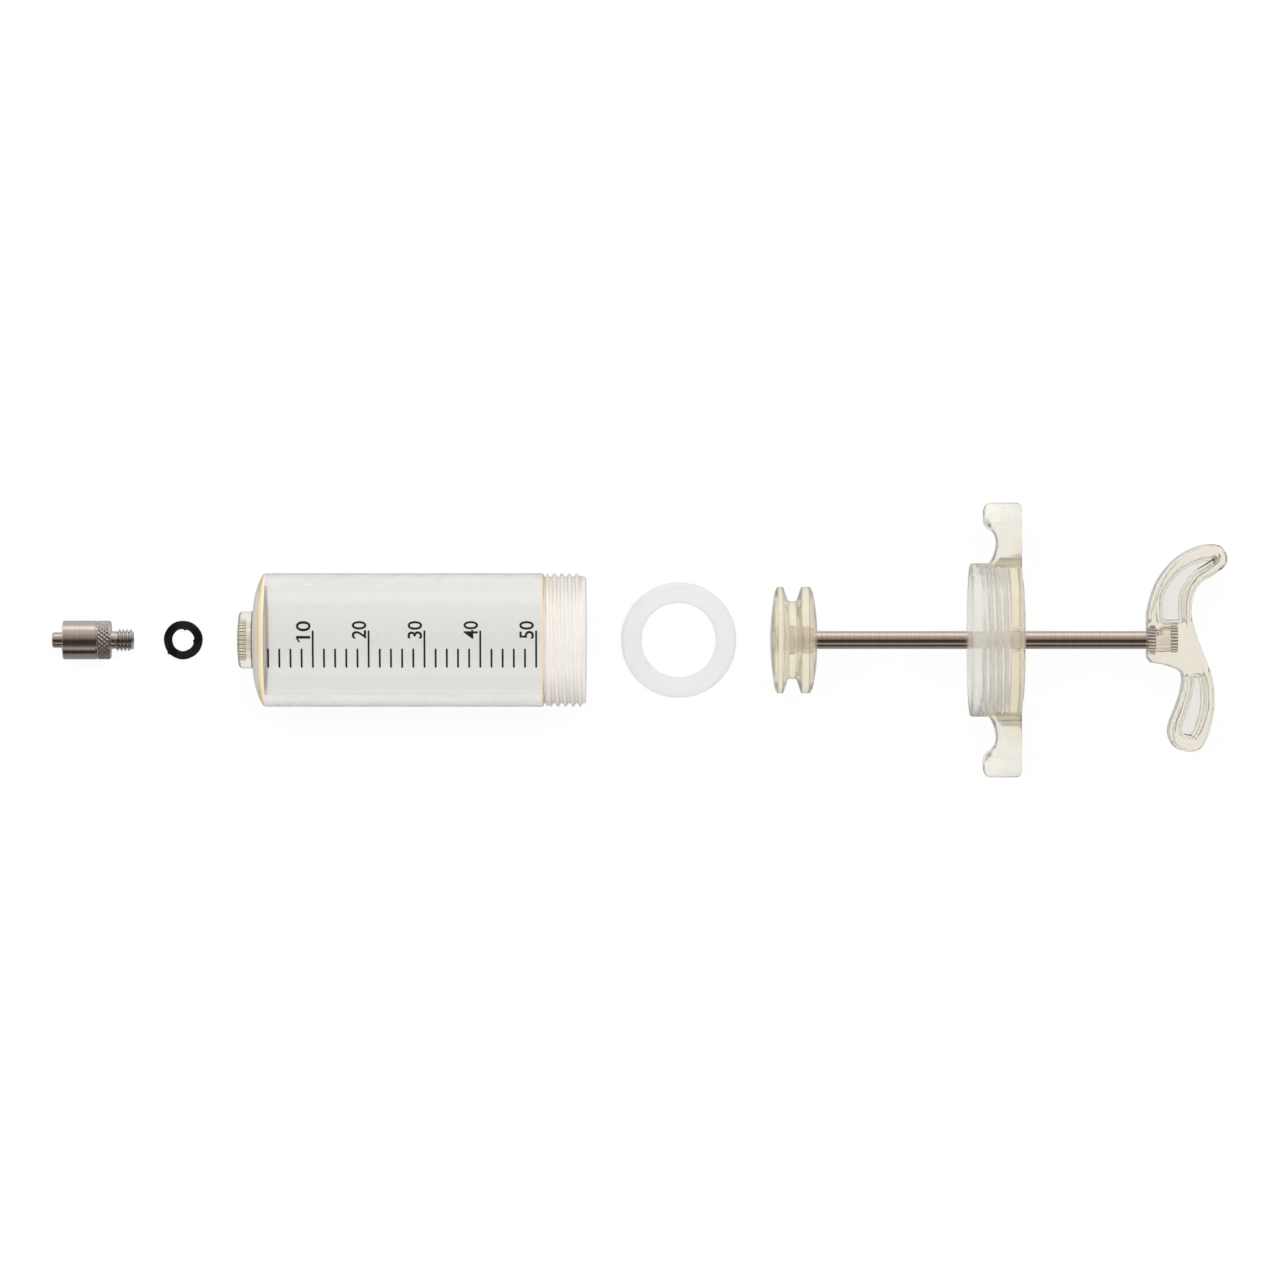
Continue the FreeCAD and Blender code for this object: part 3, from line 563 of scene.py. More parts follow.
def clear_plastic(name, body_colour, density, haze=0.04, roughness=0.02):
    """Clear polycarbonate from a polished mould: it shines, hazed by wear, and is yellow where thick.

    The frosted attribute marks threads and corners, where the mould isn't polished. The amber
    attribute marks edges in which light from the whole length of the plastic comes out yellow.
    """
    material, tree = new_material(name)
    place = add(tree, "ShaderNodeTexCoord").outputs["Object"]
    wear = add(tree, "ShaderNodeTexNoise", {"Vector": place, "Scale": 0.16 / MM, "Detail": 3.0})
    polish = add(tree, "ShaderNodeMapRange", {"Value": wear.outputs["Fac"], "From Min": 0.3,
                                              "From Max": 0.7, "To Min": roughness * 0.5,
                                              "To Max": roughness * 2.0})
    frosted = add(tree, "ShaderNodeAttribute", attribute_name="frosted")
    rough = add(tree, "ShaderNodeMix", {0: frosted.outputs["Fac"], 2: polish, 3: FROSTED_ROUGHNESS})
    amber = add(tree, "ShaderNodeAttribute", attribute_name="amber")
    tone = add(tree, "ShaderNodeMix", {0: amber.outputs["Fac"], 6: linear(body_colour),
                                       7: linear(AMBER)}, data_type="RGBA")
    cloudy = add(tree, "ShaderNodeMath", {0: frosted.outputs["Fac"], 1: amber.outputs["Fac"]},
                 operation="MAXIMUM")
    clear = add(tree, "ShaderNodeMix", {0: cloudy, 2: 1.0 - haze, 3: FROSTED_CLEAR})
    flow = add(tree, "ShaderNodeTexNoise", {"Vector": place, "Scale": 0.06 / MM, "Detail": 1.0})
    bump = add(tree, "ShaderNodeBump", {"Height": flow.outputs["Fac"], "Strength": 0.015,
                                        "Distance": 0.3 * MM})
    surface = add(tree, "ShaderNodeBsdfPrincipled", {
        "Base Color": tone.outputs[2], "Roughness": rough, "IOR": PLASTIC_IOR,
        "Transmission Weight": clear, "Normal": bump})
    body = add(tree, "ShaderNodeVolumeAbsorption", {"Color": linear(PLASTIC_TINT), "Density": density})
    add(tree, "ShaderNodeOutputMaterial", {"Surface": surface, "Volume": body})
    return material


def mark(piece, label, strength_at):
    """Raises an attribute of a piece's points to what their place in mm gives: x, y and z."""
    marks = piece.data.attributes.get(label) or piece.data.attributes.new(label, "FLOAT", "POINT")
    for vertex, level in zip(piece.data.vertices, marks.data):
        level.value = max(level.value, strength_at(*(vertex.co / MM)))


barrel_plastic = clear_plastic("polished_polycarbonate_barrel", "#FBFBFB", 7.0)
BARREL_RADIUS = 17.75
BARREL_BORE = 14.75
BARREL_LENGTH = 92.8
BOSS_RADIUS = 7.6
BOSS_LENGTH = 4.1
DOME_END = 6.9
DOME_SWELL = 0.7
FLOOR_HOLE = 2.6
FLOOR_FROST_END = 7.6
BODY_END = 81.3
THREAD_ROOT = 16.85
THREAD_FROM = 82.3
THREAD_TO = 91.4
BARREL_PITCH = 2.0
NUT_MOUTH = 3.8
NUT_SEAT = 3.1
SEAT_FROM = 0.6
SEAT_TO = 6.4


def crown(start, end, swell, steps=16):
    """Section points of a face that bulges along X between two radii."""
    start, end = Vector(start), Vector(end)
    points = []
    for step in range(steps + 1):
        share = step / steps
        point = start.lerp(end, share)
        point.x -= swell * 4 * share * (1 - share)
        points.append(point)
    return points


barrel_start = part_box("barrel")[0][0]
barrel_height = BARREL_RADIUS * MM
barrel = lathe("barrel_moulding", [
    (0, NUT_MOUTH, 0.1),
    (0.4, BOSS_RADIUS, 1.1),
    (BOSS_LENGTH, BOSS_RADIUS, 0.4),
    *crown((BOSS_LENGTH + 0.15, BOSS_RADIUS + 0.5), (DOME_END, BARREL_RADIUS), DOME_SWELL)[1:-2],
    (DOME_END, BARREL_RADIUS, 1.2),
    (BODY_END, BARREL_RADIUS, 0.25),
    (BODY_END + 0.45, THREAD_ROOT, 0.15),
    (THREAD_FROM - 0.3, THREAD_ROOT, 0.1),
    *evenly((THREAD_FROM + 0.05, BARREL_RADIUS), (THREAD_TO, BARREL_RADIUS), RIDGE_STEP),
    (THREAD_TO + 0.35, THREAD_ROOT + 0.1),
    (BARREL_LENGTH, THREAD_ROOT, 0.35),
    (BARREL_LENGTH, BARREL_BORE, 0.35),
    (FLOOR_FROST_END, BARREL_BORE),
    (DOME_END, BARREL_BORE, 0.25),
    (DOME_END, FLOOR_HOLE),
    (SEAT_TO, FLOOR_HOLE),
    (SEAT_TO, NUT_SEAT),
    (SEAT_FROM, NUT_SEAT),
    (SEAT_FROM - 0.15, NUT_MOUTH),
], barrel_start, barrel_height, barrel_plastic, sides=160)
cut_ridges(barrel, barrel_height, barrel_start + THREAD_FROM * MM,
           barrel_start + (THREAD_TO + 0.3) * MM, (THREAD_ROOT - 0.3, BARREL_RADIUS + 0.1),
           BARREL_RADIUS - THREAD_ROOT, pitch=BARREL_PITCH, run_out=0.6, flatness=1.0)

# Where light comes out yellow or the mould isn't polished, and how much, along the barrel
SHOULDER_FROM = 5.2
SHOULDER_TO = 7.5
SHOULDER_RADIUS = 15.5
STEP_FROM = 81.2
STEP_TO = 81.8
FAINT_AMBER = 0.15
FLOOR_FROST = 0.6
THREAD_WALL = 0.6


def barrel_amber(x, y, z):
    """The shoulder of the dome and the step by the thread, and faintly what is beyond them."""
    along = x - barrel_start / MM
    radius = math.hypot(y, z - BARREL_RADIUS)
    if radius < (SHOULDER_RADIUS if along > SHOULDER_FROM else BOSS_RADIUS + 0.2):
        return 0.0
    if SHOULDER_FROM < along < SHOULDER_TO or STEP_FROM < along < STEP_TO:
        return 1.0
    return FAINT_AMBER if along < SHOULDER_FROM or along > STEP_TO else 0.0


def barrel_frosted(x, y, z):
    """The dome, the bottom of the bore, the thread and the ring behind it."""
    along = x - barrel_start / MM
    radius = math.hypot(y, z - BARREL_RADIUS)
    if along < BOSS_LENGTH and radius < BOSS_RADIUS + 0.1:
        return 0.0
    if DOME_END - 0.1 < along < DOME_END + 0.4 and radius < BARREL_BORE + 0.1:
        return FLOOR_FROST
    if along > STEP_TO + 0.1 and radius > BARREL_BORE + THREAD_WALL:
        return 1.0
    return 1.0 if along < SEAT_TO and radius > BOSS_RADIUS + 0.2 else 0.0


mark(barrel, "amber", barrel_amber)
mark(barrel, "frosted", barrel_frosted)
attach(barrel, "syringe")
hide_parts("barrel")


# Scale on the barrel: black ink, screen printed. There is a line for each 2 ml, a long one and a
# number for each 10 ml, wrapped over the top of the barrel as the screen rolled over it.

FIRST_LINE = -97.44
LINE_STEP = 2.95
LINE_COUNT = 25
LINES_PER_NUMBER = 5
LINE_WIDTH = 0.52
LINE_FROM = -7.52
SHORT_LINE_TO = -2.31
LONG_LINE_TO = 2.51
NUMBER_HEIGHT = 3.85
NUMBER_FROM = 0.35
NUMBER_TO = 5.05
NUMBER_GAP = 0.6
INK_THICKNESS = 0.03
INK_GAP = 0.005
INK_SPREAD = 0.012
PRINT_STRIPS = 12

# Screen ink dries in a thin, matt and slightly mottled layer
ink, tree = new_material("black_screen_ink")
place = add(tree, "ShaderNodeTexCoord").outputs["Object"]
mottle = add(tree, "ShaderNodeTexNoise", {"Vector": place, "Scale": 1.8 / MM, "Detail": 2.0})
tone = add(tree, "ShaderNodeMix", {0: mottle.outputs["Fac"], 6: linear("#0B0B0C"),
                                   7: linear("#1D1D1F")}, data_type="RGBA")
rough = add(tree, "ShaderNodeMapRange", {"Value": mottle.outputs["Fac"], "To Min": 0.55,
                                         "To Max": 0.75})
layer = add(tree, "ShaderNodeBsdfPrincipled", {"Base Color": tone.outputs[2], "Roughness": rough})
add(tree, "ShaderNodeOutputMaterial", {"Surface": layer})

# The numbers are laid out flat beside their lines: X along the barrel, Y round it
numbers = bmesh.new()
for count in range(1, LINE_COUNT // LINES_PER_NUMBER + 1):
    curve = bpy.data.curves.new(f"number_{count}", "FONT")
    curve.body = str(count * 10)
    curve.offset = INK_SPREAD
    words = bpy.data.objects.new(curve.name, curve)
    scene.collection.objects.link(words)
    graph = bpy.context.evaluated_depsgraph_get()
    flat = bpy.data.meshes.new_from_object(words.evaluated_get(graph))
    bpy.data.objects.remove(words)
    low = Vector((min(v.co.x for v in flat.vertices), min(v.co.y for v in flat.vertices)))
    high = Vector((max(v.co.x for v in flat.vertices), max(v.co.y for v in flat.vertices)))
    line_x = FIRST_LINE + LINE_STEP * (count * LINES_PER_NUMBER - 1)
    baseline = line_x - NUMBER_GAP
    for vertex in flat.vertices:
        right = (vertex.co.x - low.x) / (high.x - low.x)
        up = (vertex.co.y - low.y) / (high.y - low.y)
        vertex.co = Vector((baseline - NUMBER_HEIGHT * up,
                            NUMBER_FROM + (NUMBER_TO - NUMBER_FROM) * right, 0)) * MM
    numbers.from_mesh(flat)
    if count == 1:
        # The flag at the top of the first number's one
        stem = NUMBER_FROM + 0.05
        top = baseline - NUMBER_HEIGHT
        flag = [(top, stem), (top + 0.55, stem), (top + 1.15, stem - 0.95), (top + 0.7, stem - 1.0)]
        numbers.faces.new([numbers.verts.new((x * MM, y * MM, 0)) for x, y in flag])
for step in range(1, PRINT_STRIPS):
    cut_at = (NUMBER_FROM + (NUMBER_TO - NUMBER_FROM) * step / PRINT_STRIPS) * MM
    bmesh.ops.bisect_plane(numbers, geom=numbers.verts[:] + numbers.edges[:] + numbers.faces[:],
                           plane_co=(0, cut_at, 0), plane_no=(0, 1, 0))
bmesh.ops.triangulate(numbers, faces=numbers.faces)
for face in numbers.faces:
    if face.normal.z < 0:
        face.normal_flip()
data = bpy.data.meshes.new("scale_print")
numbers.to_mesh(data)
numbers.free()
data.materials.append(ink)
scale_print = bpy.data.objects.new("scale_print", data)
scene.collection.objects.link(scale_print)

printing, given = new_tree("printed_scale", [
    "First Line", "Line Step", "Line Count", "Lines Per Number", "Line Width",
    "Line From", "Short Line To", "Long Line To", "Surface Radius", "Axis Height"])
step = add(printing, "ShaderNodeCombineXYZ", {0: given["Line Step"]})
start = add(printing, "ShaderNodeCombineXYZ", {0: given["First Line"]})
row = add(printing, "GeometryNodeMeshLine", {
    "Count": given["Line Count"], "Start Location": start, "Offset": step})
index = add(printing, "ShaderNodeMath", {0: add(printing, "GeometryNodeInputIndex"),
                                         1: 1.0}, operation="ADD")
rest = add(printing, "ShaderNodeMath", {0: index, 1: given["Lines Per Number"]}, operation="MODULO")
is_long = add(printing, "ShaderNodeMath", {0: rest, 1: 0.5}, operation="LESS_THAN")
line_to = add(printing, "ShaderNodeMapRange", {
    "Value": is_long, "To Min": given["Short Line To"], "To Max": given["Long Line To"]})
length = add(printing, "ShaderNodeMath", {0: line_to, 1: given["Line From"]}, operation="SUBTRACT")
ends = add(printing, "ShaderNodeMath", {0: line_to, 1: given["Line From"]}, operation="ADD")
middle = add(printing, "ShaderNodeMath", {0: ends, 1: 0.5}, operation="MULTIPLY")
beside = add(printing, "ShaderNodeCombineXYZ", {1: middle})
spread = add(printing, "GeometryNodeSetPosition", {"Geometry": row, "Offset": beside})
stroke = add(printing, "GeometryNodeMeshGrid", {
    "Size X": given["Line Width"], "Size Y": 1.0, "Vertices X": 2, "Vertices Y": 15})
size = add(printing, "ShaderNodeCombineXYZ", {0: 1.0, 1: length, 2: 1.0})
lines = add(printing, "GeometryNodeInstanceOnPoints", {
    "Points": spread, "Instance": stroke, "Scale": size})
real = add(printing, "GeometryNodeRealizeInstances", {0: lines})
flat = add(printing, "GeometryNodeJoinGeometry", {0: real})
printing.links.new(given["Geometry"], flat.inputs[0])
at = add(printing, "ShaderNodeSeparateXYZ", {0: add(printing, "GeometryNodeInputPosition")})
turn = add(printing, "ShaderNodeMath", {0: at.outputs["Y"], 1: given["Surface Radius"]},
           operation="DIVIDE")
sideways = add(printing, "ShaderNodeMath", {0: turn}, operation="SINE")
upwards = add(printing, "ShaderNodeMath", {0: turn}, operation="COSINE")
arm = add(printing, "ShaderNodeCombineXYZ", {1: sideways, 2: upwards})
arm = add(printing, "ShaderNodeVectorMath", {0: arm, "Scale": given["Surface Radius"]},
          operation="SCALE")
axis_point = add(printing, "ShaderNodeCombineXYZ", {0: at.outputs["X"], 2: given["Axis Height"]})
wrapped = add(printing, "ShaderNodeVectorMath", {0: arm, 1: axis_point})
rolled = add(printing, "GeometryNodeSetPosition", {"Geometry": flat, "Position": wrapped})
end_tree(printing, given, rolled)
run_tree(scale_print, printing, {
    "First Line": FIRST_LINE * MM, "Line Step": LINE_STEP * MM, "Line Count": float(LINE_COUNT),
    "Lines Per Number": float(LINES_PER_NUMBER), "Line Width": LINE_WIDTH * MM,
    "Line From": LINE_FROM * MM, "Short Line To": SHORT_LINE_TO * MM,
    "Long Line To": LONG_LINE_TO * MM, "Surface Radius": (BARREL_RADIUS + INK_GAP) * MM,
    "Axis Height": barrel_height, "Material": ink})
layer = scale_print.modifiers.new("ink_layer", "SOLIDIFY")
layer.thickness = INK_THICKNESS * MM
layer.offset = 1.0
bake(scale_print)
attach(scale_print, "syringe")


# Nut in the barrel: nickel-plated brass with a straight knurl and an M6 thread through it. It
# was laid in the mould, so the plastic grips its knurl, and it shows through the boss.

# Bright nickel plate on brass, with painted shade low between its teeth, where the tooth flanks show dark
insert_metal = plated_metal("bright_nickel_on_brass", "#FBF4E8", "#E9DECD", 0.12,
                            TURNING_SPACING, groove_shade_share=1.0, groove_shade_reach=0.7, groove_shade_colour="#2A241F")
BARREL_NUT = (3.6, 6.2)
BARREL_NUT_TEETH = 26
BARREL_NUT_WAIST = (1.9, 3.3, 3.2)
BARREL_NUT_HOLE = 2.5
NUT_KNURL_DEPTH = 0.4
NUT_CHAMFER = 0.25
nut_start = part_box("barrel_nut")[0][0]
barrel_nut = lathe("barrel_nut_knurled", [
    (0, BARREL_NUT_HOLE + 0.3),
    (0, BARREL_NUT[0] - NUT_CHAMFER),
    *evenly((NUT_CHAMFER, BARREL_NUT[0]), (BARREL_NUT_WAIST[0] - 0.1, BARREL_NUT[0]), 0.4),
    (BARREL_NUT_WAIST[0], BARREL_NUT_WAIST[2], 0.1),
    (BARREL_NUT_WAIST[1], BARREL_NUT_WAIST[2], 0.1),
    *evenly((BARREL_NUT_WAIST[1] + 0.1, BARREL_NUT[0]),
            (BARREL_NUT[1] - NUT_CHAMFER, BARREL_NUT[0]), 0.4),
    (BARREL_NUT[1], BARREL_NUT[0] - NUT_CHAMFER),
    *evenly((BARREL_NUT[1], BARREL_NUT_HOLE), (0.3, BARREL_NUT_HOLE), RIDGE_STEP),
], nut_start, barrel_height, insert_metal, sides=208)
cut_ridges(barrel_nut, barrel_height, nut_start, nut_start + BARREL_NUT[1] * MM,
           (BARREL_NUT[0] - 0.3, BARREL_NUT[0] + 0.1), NUT_KNURL_DEPTH, count=BARREL_NUT_TEETH,
           run_out=0.1)
cut_ridges(barrel_nut, barrel_height, nut_start, nut_start + BARREL_NUT[1] * MM,
           (BARREL_NUT_HOLE - 0.1, BARREL_NUT_HOLE + 0.1), -NUT_KNURL_DEPTH, pitch=STUD_PITCH, run_out=0.3)
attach(barrel_nut, "syringe")
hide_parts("barrel_nut")


# Seal ring: one moulding of translucent silicone with rounded edges, stretched over the
# piston in use. It lies flat on the table.

SEAL_HOLE = 10.0
SEAL_RADIUS = 15.45
SEAL_THICKNESS = 4.0
SEAL_INNER_ROUND = 1.2
SEAL_OUTER_ROUND = 1.4

# Moulded silicone is milky, with a soft skin and faint clouds in it
silicone, tree = new_material("translucent_silicone")
place = add(tree, "ShaderNodeTexCoord").outputs["Object"]
cloud = add(tree, "ShaderNodeTexNoise", {"Vector": place, "Scale": 0.22 / MM, "Detail": 3.0})
tone = add(tree, "ShaderNodeMix", {0: cloud.outputs["Fac"], 6: linear("#F8F8F9"),
                                   7: linear("#FFFFFF")}, data_type="RGBA")
bump = add(tree, "ShaderNodeBump", {"Height": cloud.outputs["Fac"], "Strength": 0.15,
                                    "Distance": 0.1 * MM})
soft = add(tree, "ShaderNodeBsdfPrincipled", {
    "Base Color": tone.outputs[2], "Roughness": 0.4, "IOR": 1.41, "Transmission Weight": 0.8,
    "Normal": bump})
add(tree, "ShaderNodeOutputMaterial", {"Surface": soft})
seal = flat_ring("seal_ring_silicone", rounded([
    (SEAL_HOLE, 0, SEAL_INNER_ROUND),
    (SEAL_RADIUS, 0, SEAL_OUTER_ROUND),
    (SEAL_RADIUS, SEAL_THICKNESS, SEAL_OUTER_ROUND),
    (SEAL_HOLE, SEAL_THICKNESS, SEAL_INNER_ROUND),
]), centre_of("seal_ring"), silicone, sides=192)
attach(seal, "syringe")
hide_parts("seal_ring")


# Piston: a spool of clear plastic, crowned at both ends, with a groove for the seal ring.
# Its nut is moulded in, and the rod is screwed through its rear face.

piston_plastic = clear_plastic("yellowed_polycarbonate_piston", "#FFFDF3", 11.0, haze=0.12)
PISTON_RADIUS = 14.15
PISTON_GROOVE = 10.35
PISTON_BEVEL = 12.95
PISTON_LENGTH = 12.5
PISTON_CROWN = 1.25
PISTON_SWELL = 0.3
# The edges of the groove and of the two lands beside it, along the piston
FRONT_LAND = (1.95, 3.45)
GROOVE_FLOOR = (4.75, 6.95)
REAR_LAND = (8.25, 10.55)
PISTON_NUT_SPACE = (3.85, 8.6, 2.15)
ROD_SEAT = 2.3
piston_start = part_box("piston")[0][0]
piston = lathe("piston_moulding", [
    *crown((0, 0), (PISTON_CROWN, PISTON_BEVEL), PISTON_SWELL),
    (FRONT_LAND[0], PISTON_RADIUS, 0.25),
    (FRONT_LAND[1], PISTON_RADIUS, 0.3),
    (GROOVE_FLOOR[0], PISTON_GROOVE, 0.35),
    (GROOVE_FLOOR[1], PISTON_GROOVE, 0.35),
    (REAR_LAND[0], PISTON_RADIUS, 0.3),
    (REAR_LAND[1], PISTON_RADIUS, 0.25),
    *crown((PISTON_LENGTH - PISTON_CROWN, PISTON_BEVEL), (PISTON_LENGTH, ROD_SEAT), -PISTON_SWELL),
    (PISTON_NUT_SPACE[1], ROD_SEAT),
    (PISTON_NUT_SPACE[1], PISTON_NUT_SPACE[2]),
    (PISTON_NUT_SPACE[0], PISTON_NUT_SPACE[2]),
    (PISTON_NUT_SPACE[0], 0),
], piston_start, ROD_HEIGHT, piston_plastic, sides=192)
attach(piston, "syringe")
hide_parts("piston")


# Nut in the piston: nickel-plated brass, diamond knurled in front and with a smooth collar
# behind a fine groove. The rod's end screws into it.

PISTON_NUT = (2.5, 5.05)
PISTON_NUT_KNURL = 2.7
PISTON_NUT_GROOVE = 0.25
SPIGOT_HOLE = (1.55, 4.2)
nut_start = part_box("piston_nut")[0][0]
piston_nut = lathe("piston_nut_knurled", [
    (0, 0),
    (0, PISTON_NUT[0] - 0.2),
    *evenly((0.2, PISTON_NUT[0]), (PISTON_NUT_KNURL - 0.05, PISTON_NUT[0]), RIDGE_STEP),
    (PISTON_NUT_KNURL, PISTON_NUT[0] - PISTON_NUT_GROOVE),
    (PISTON_NUT_KNURL + PISTON_NUT_GROOVE, PISTON_NUT[0] - PISTON_NUT_GROOVE),
    (PISTON_NUT_KNURL + PISTON_NUT_GROOVE, PISTON_NUT[0], 0.06),
    (PISTON_NUT[1], PISTON_NUT[0], 0.15),
    (PISTON_NUT[1], SPIGOT_HOLE[0]),
    (PISTON_NUT[1] - SPIGOT_HOLE[1], SPIGOT_HOLE[0]),
    (PISTON_NUT[1] - SPIGOT_HOLE[1], 0),
], nut_start, ROD_HEIGHT, insert_metal, sides=168)
cut_ridges(piston_nut, ROD_HEIGHT, nut_start, nut_start + PISTON_NUT_KNURL * MM,
           (PISTON_NUT[0] - 0.15, PISTON_NUT[0] + 0.1), 0.2, count=20, pitch=1.2, run_out=0.15,
           crossed=1.0)
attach(piston_nut, "syringe")
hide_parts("piston_nut")


# Rod: stainless steel, ground between centres, with a screwed end in each of two nuts. The
# cap slides and turns on it.

ROD_RADIUS = 2.375
ROD_LENGTH = 91.6
SPIGOT = (1.5, 4.1)
SPIGOT_PITCH = 0.5
SPIGOT_CHAMFER = 0.3
SPIGOT_THREAD_DEPTH = 0.28

# Ground stainless steel is brighter and smoother than the plated pieces
rod_metal = plated_metal("ground_stainless_steel", "#E9DDD3", "#D3C5BA", 0.1, TURNING_SPACING)
rod_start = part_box("rod")[0][0]
rod_end = SPIGOT[1] + ROD_LENGTH
rod_total = rod_end + SPIGOT[1]
rod = lathe("rod_ground", [
    (0, 0),
    (0, SPIGOT[0] - SPIGOT_CHAMFER),
    *evenly((SPIGOT_CHAMFER, SPIGOT[0]), (SPIGOT[1], SPIGOT[0]), RIDGE_STEP),
    (SPIGOT[1], ROD_RADIUS, 0.12),
    (rod_end, ROD_RADIUS, 0.12),
    *evenly((rod_end, SPIGOT[0]), (rod_total - SPIGOT_CHAMFER, SPIGOT[0]), RIDGE_STEP),
    (rod_total, SPIGOT[0] - SPIGOT_CHAMFER),
    (rod_total, 0),
], rod_start, ROD_HEIGHT, rod_metal, sides=96)
for thread_start in (rod_start, rod_start + rod_end * MM):
    cut_ridges(rod, ROD_HEIGHT, thread_start, thread_start + SPIGOT[1] * MM,
               (SPIGOT[0] - 0.1, SPIGOT[0] + 0.1), SPIGOT_THREAD_DEPTH, pitch=SPIGOT_PITCH, run_out=0.2)
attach(rod, "rod")
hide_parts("rod")


# Cap: one moulding of clear plastic. A ring threaded inside screws on the barrel, the back
# wall guides the rod, and two hooked wings at the sides take the fingers.

cap_plastic = clear_plastic("polished_polycarbonate_cap", "#FFFFFD", 10.5, haze=0.12)
CAP_RADIUS = 20.4
CAP_LENGTH = 13.6
CAP_DISC = (16.8, 0.5)
CAP_MAJOR = 17.95
CAP_MINOR = 17.15
CAP_ENTRY = 2.6
CAP_FLOOR = 10.44
CAP_HOLE = 2.455
CAP_BUSH = (4.6, 0.5)
cap_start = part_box("cap")[0][0]
cap = lathe("cap_moulding", [
    (0, CAP_MAJOR, 0.3),
    (0, CAP_RADIUS, 0.7),
    (CAP_LENGTH, CAP_RADIUS, 0.5),
    (CAP_LENGTH, CAP_DISC[0], 0.2),
    (CAP_LENGTH + CAP_DISC[1], CAP_DISC[0] - CAP_DISC[1], 0.3),
    (CAP_LENGTH + CAP_DISC[1], CAP_HOLE, 0.15),
    (CAP_FLOOR - CAP_BUSH[1], CAP_HOLE, 0.1),
    (CAP_FLOOR - CAP_BUSH[1], CAP_BUSH[0], 0.15),
    (CAP_FLOOR, CAP_BUSH[0] + 0.3, 0.15),
    (CAP_FLOOR, CAP_MINOR, 0.35),
    *evenly((CAP_FLOOR - 0.8, CAP_MINOR), (CAP_ENTRY + 0.8, CAP_MINOR), RIDGE_STEP),
    (CAP_ENTRY, CAP_MAJOR),
], cap_start, ROD_HEIGHT, cap_plastic, sides=160)
cut_ridges(cap, ROD_HEIGHT, cap_start + CAP_ENTRY * MM, cap_start + CAP_FLOOR * MM,
           (CAP_MINOR - 0.2, CAP_MINOR + 0.3), -(CAP_MAJOR - CAP_MINOR), pitch=BARREL_PITCH,
           run_out=0.6, flatness=1.0)

# A wing: its outline seen from above, in layers from the bottom up, each drawn in from the
# outline by the edge round and shortened beyond the bend by the round of the wing's end
WING_REACH = 36.5
WING_ROOT = 18.3
WING_ROOT_DEPTH = 8.3
WING_TIP = 9.9
WING_TIP_REACH = 33.6
WING_SCOOP = 2.6
WING_CORNER = 1.2
WING_WIDTH = 14.0
WING_END_ROUND = 5.5
WING_BEND = 26.0
WING_EDGE_ROUND = 0.9
SCOOP_STEPS = 20
WING_TIP_ROUND = 1.8
WING_LIP_ROUND = 1.3
front = []
for step in range(SCOOP_STEPS + 1):
    share = step / SCOOP_STEPS
    reach = WING_TIP_REACH + (CAP_RADIUS - WING_TIP_REACH) * share
    depth = WING_TIP + (WING_ROOT_DEPTH - WING_TIP) * share
    front.append((CAP_LENGTH - depth + WING_SCOOP * 4 * share * (1 - share), reach))
outline = rounded([
    (CAP_LENGTH, WING_ROOT),
    (CAP_LENGTH, WING_REACH, WING_CORNER),
    (CAP_LENGTH - WING_TIP, WING_REACH, WING_TIP_ROUND),
    (front[0][0], front[0][1], WING_LIP_ROUND),
    *front[3:-1],
    (CAP_LENGTH - WING_ROOT_DEPTH, CAP_RADIUS),
    (CAP_LENGTH - WING_ROOT_DEPTH, WING_ROOT),
])


# Where the layers of a round edge lie, as turns from the side to the face
EDGE_TURNS = (0.3, 0.6, 0.9, 1.2, math.pi / 2)


def inward_from(outline):
    """The direction into a closed outline at each of its points."""
    turn = sum(a.cross(b) for a, b in zip(outline, outline[1:] + outline[:1]))
    directions = []
    for index in range(len(outline)):
        along = (outline[(index + 1) % len(outline)] - outline[index - 1]).normalized()
        directions.append(Vector((-along.y, along.x)) * math.copysign(1, turn))
    return directions


def rounded_layers(half, edge_round, step):
    """Heights and insets of the layers of a slab with round edges, from its middle."""
    flat_part = half - edge_round
    layers = [(up.x, 0.0) for up in evenly((-flat_part, 0), (flat_part, 0), step)]
    for turn in EDGE_TURNS:
        inset = edge_round * (1 - math.cos(turn))
        rise = flat_part + edge_round * math.sin(turn)
        layers = [(-rise, inset)] + layers + [(rise, inset)]
    return layers


def slab(name, outline, inward, layers, place, material):
    """A piece in layers of (height, inset), whose points place(x, y, height) puts in metres."""
    shape = bmesh.new()
    rings = []
    for up, inset in layers:
        points = [here + into * inset for here, into in zip(outline, inward)]
        rings.append([shape.verts.new(place(point.x, point.y, up)) for point in points])
    for low, high in zip(rings, rings[1:]):
        for index in range(len(outline)):
            beside = (index + 1) % len(outline)
            shape.faces.new((low[index], low[beside], high[beside], high[index]))
    shape.faces.new(rings[0])
    shape.faces.new(rings[-1])
    bmesh.ops.remove_doubles(shape, verts=shape.verts, dist=0.001 * MM)
    return finish_mesh(name, shape, material)


def combine(piece, other, operation):
    """Adds another piece to a piece or cuts it out, and removes the other one."""
    step = piece.modifiers.new(other.name, "BOOLEAN")
    step.operation = operation
    step.solver = "MANIFOLD"
    step.object = other
    bake(piece)
    bpy.data.objects.remove(other)


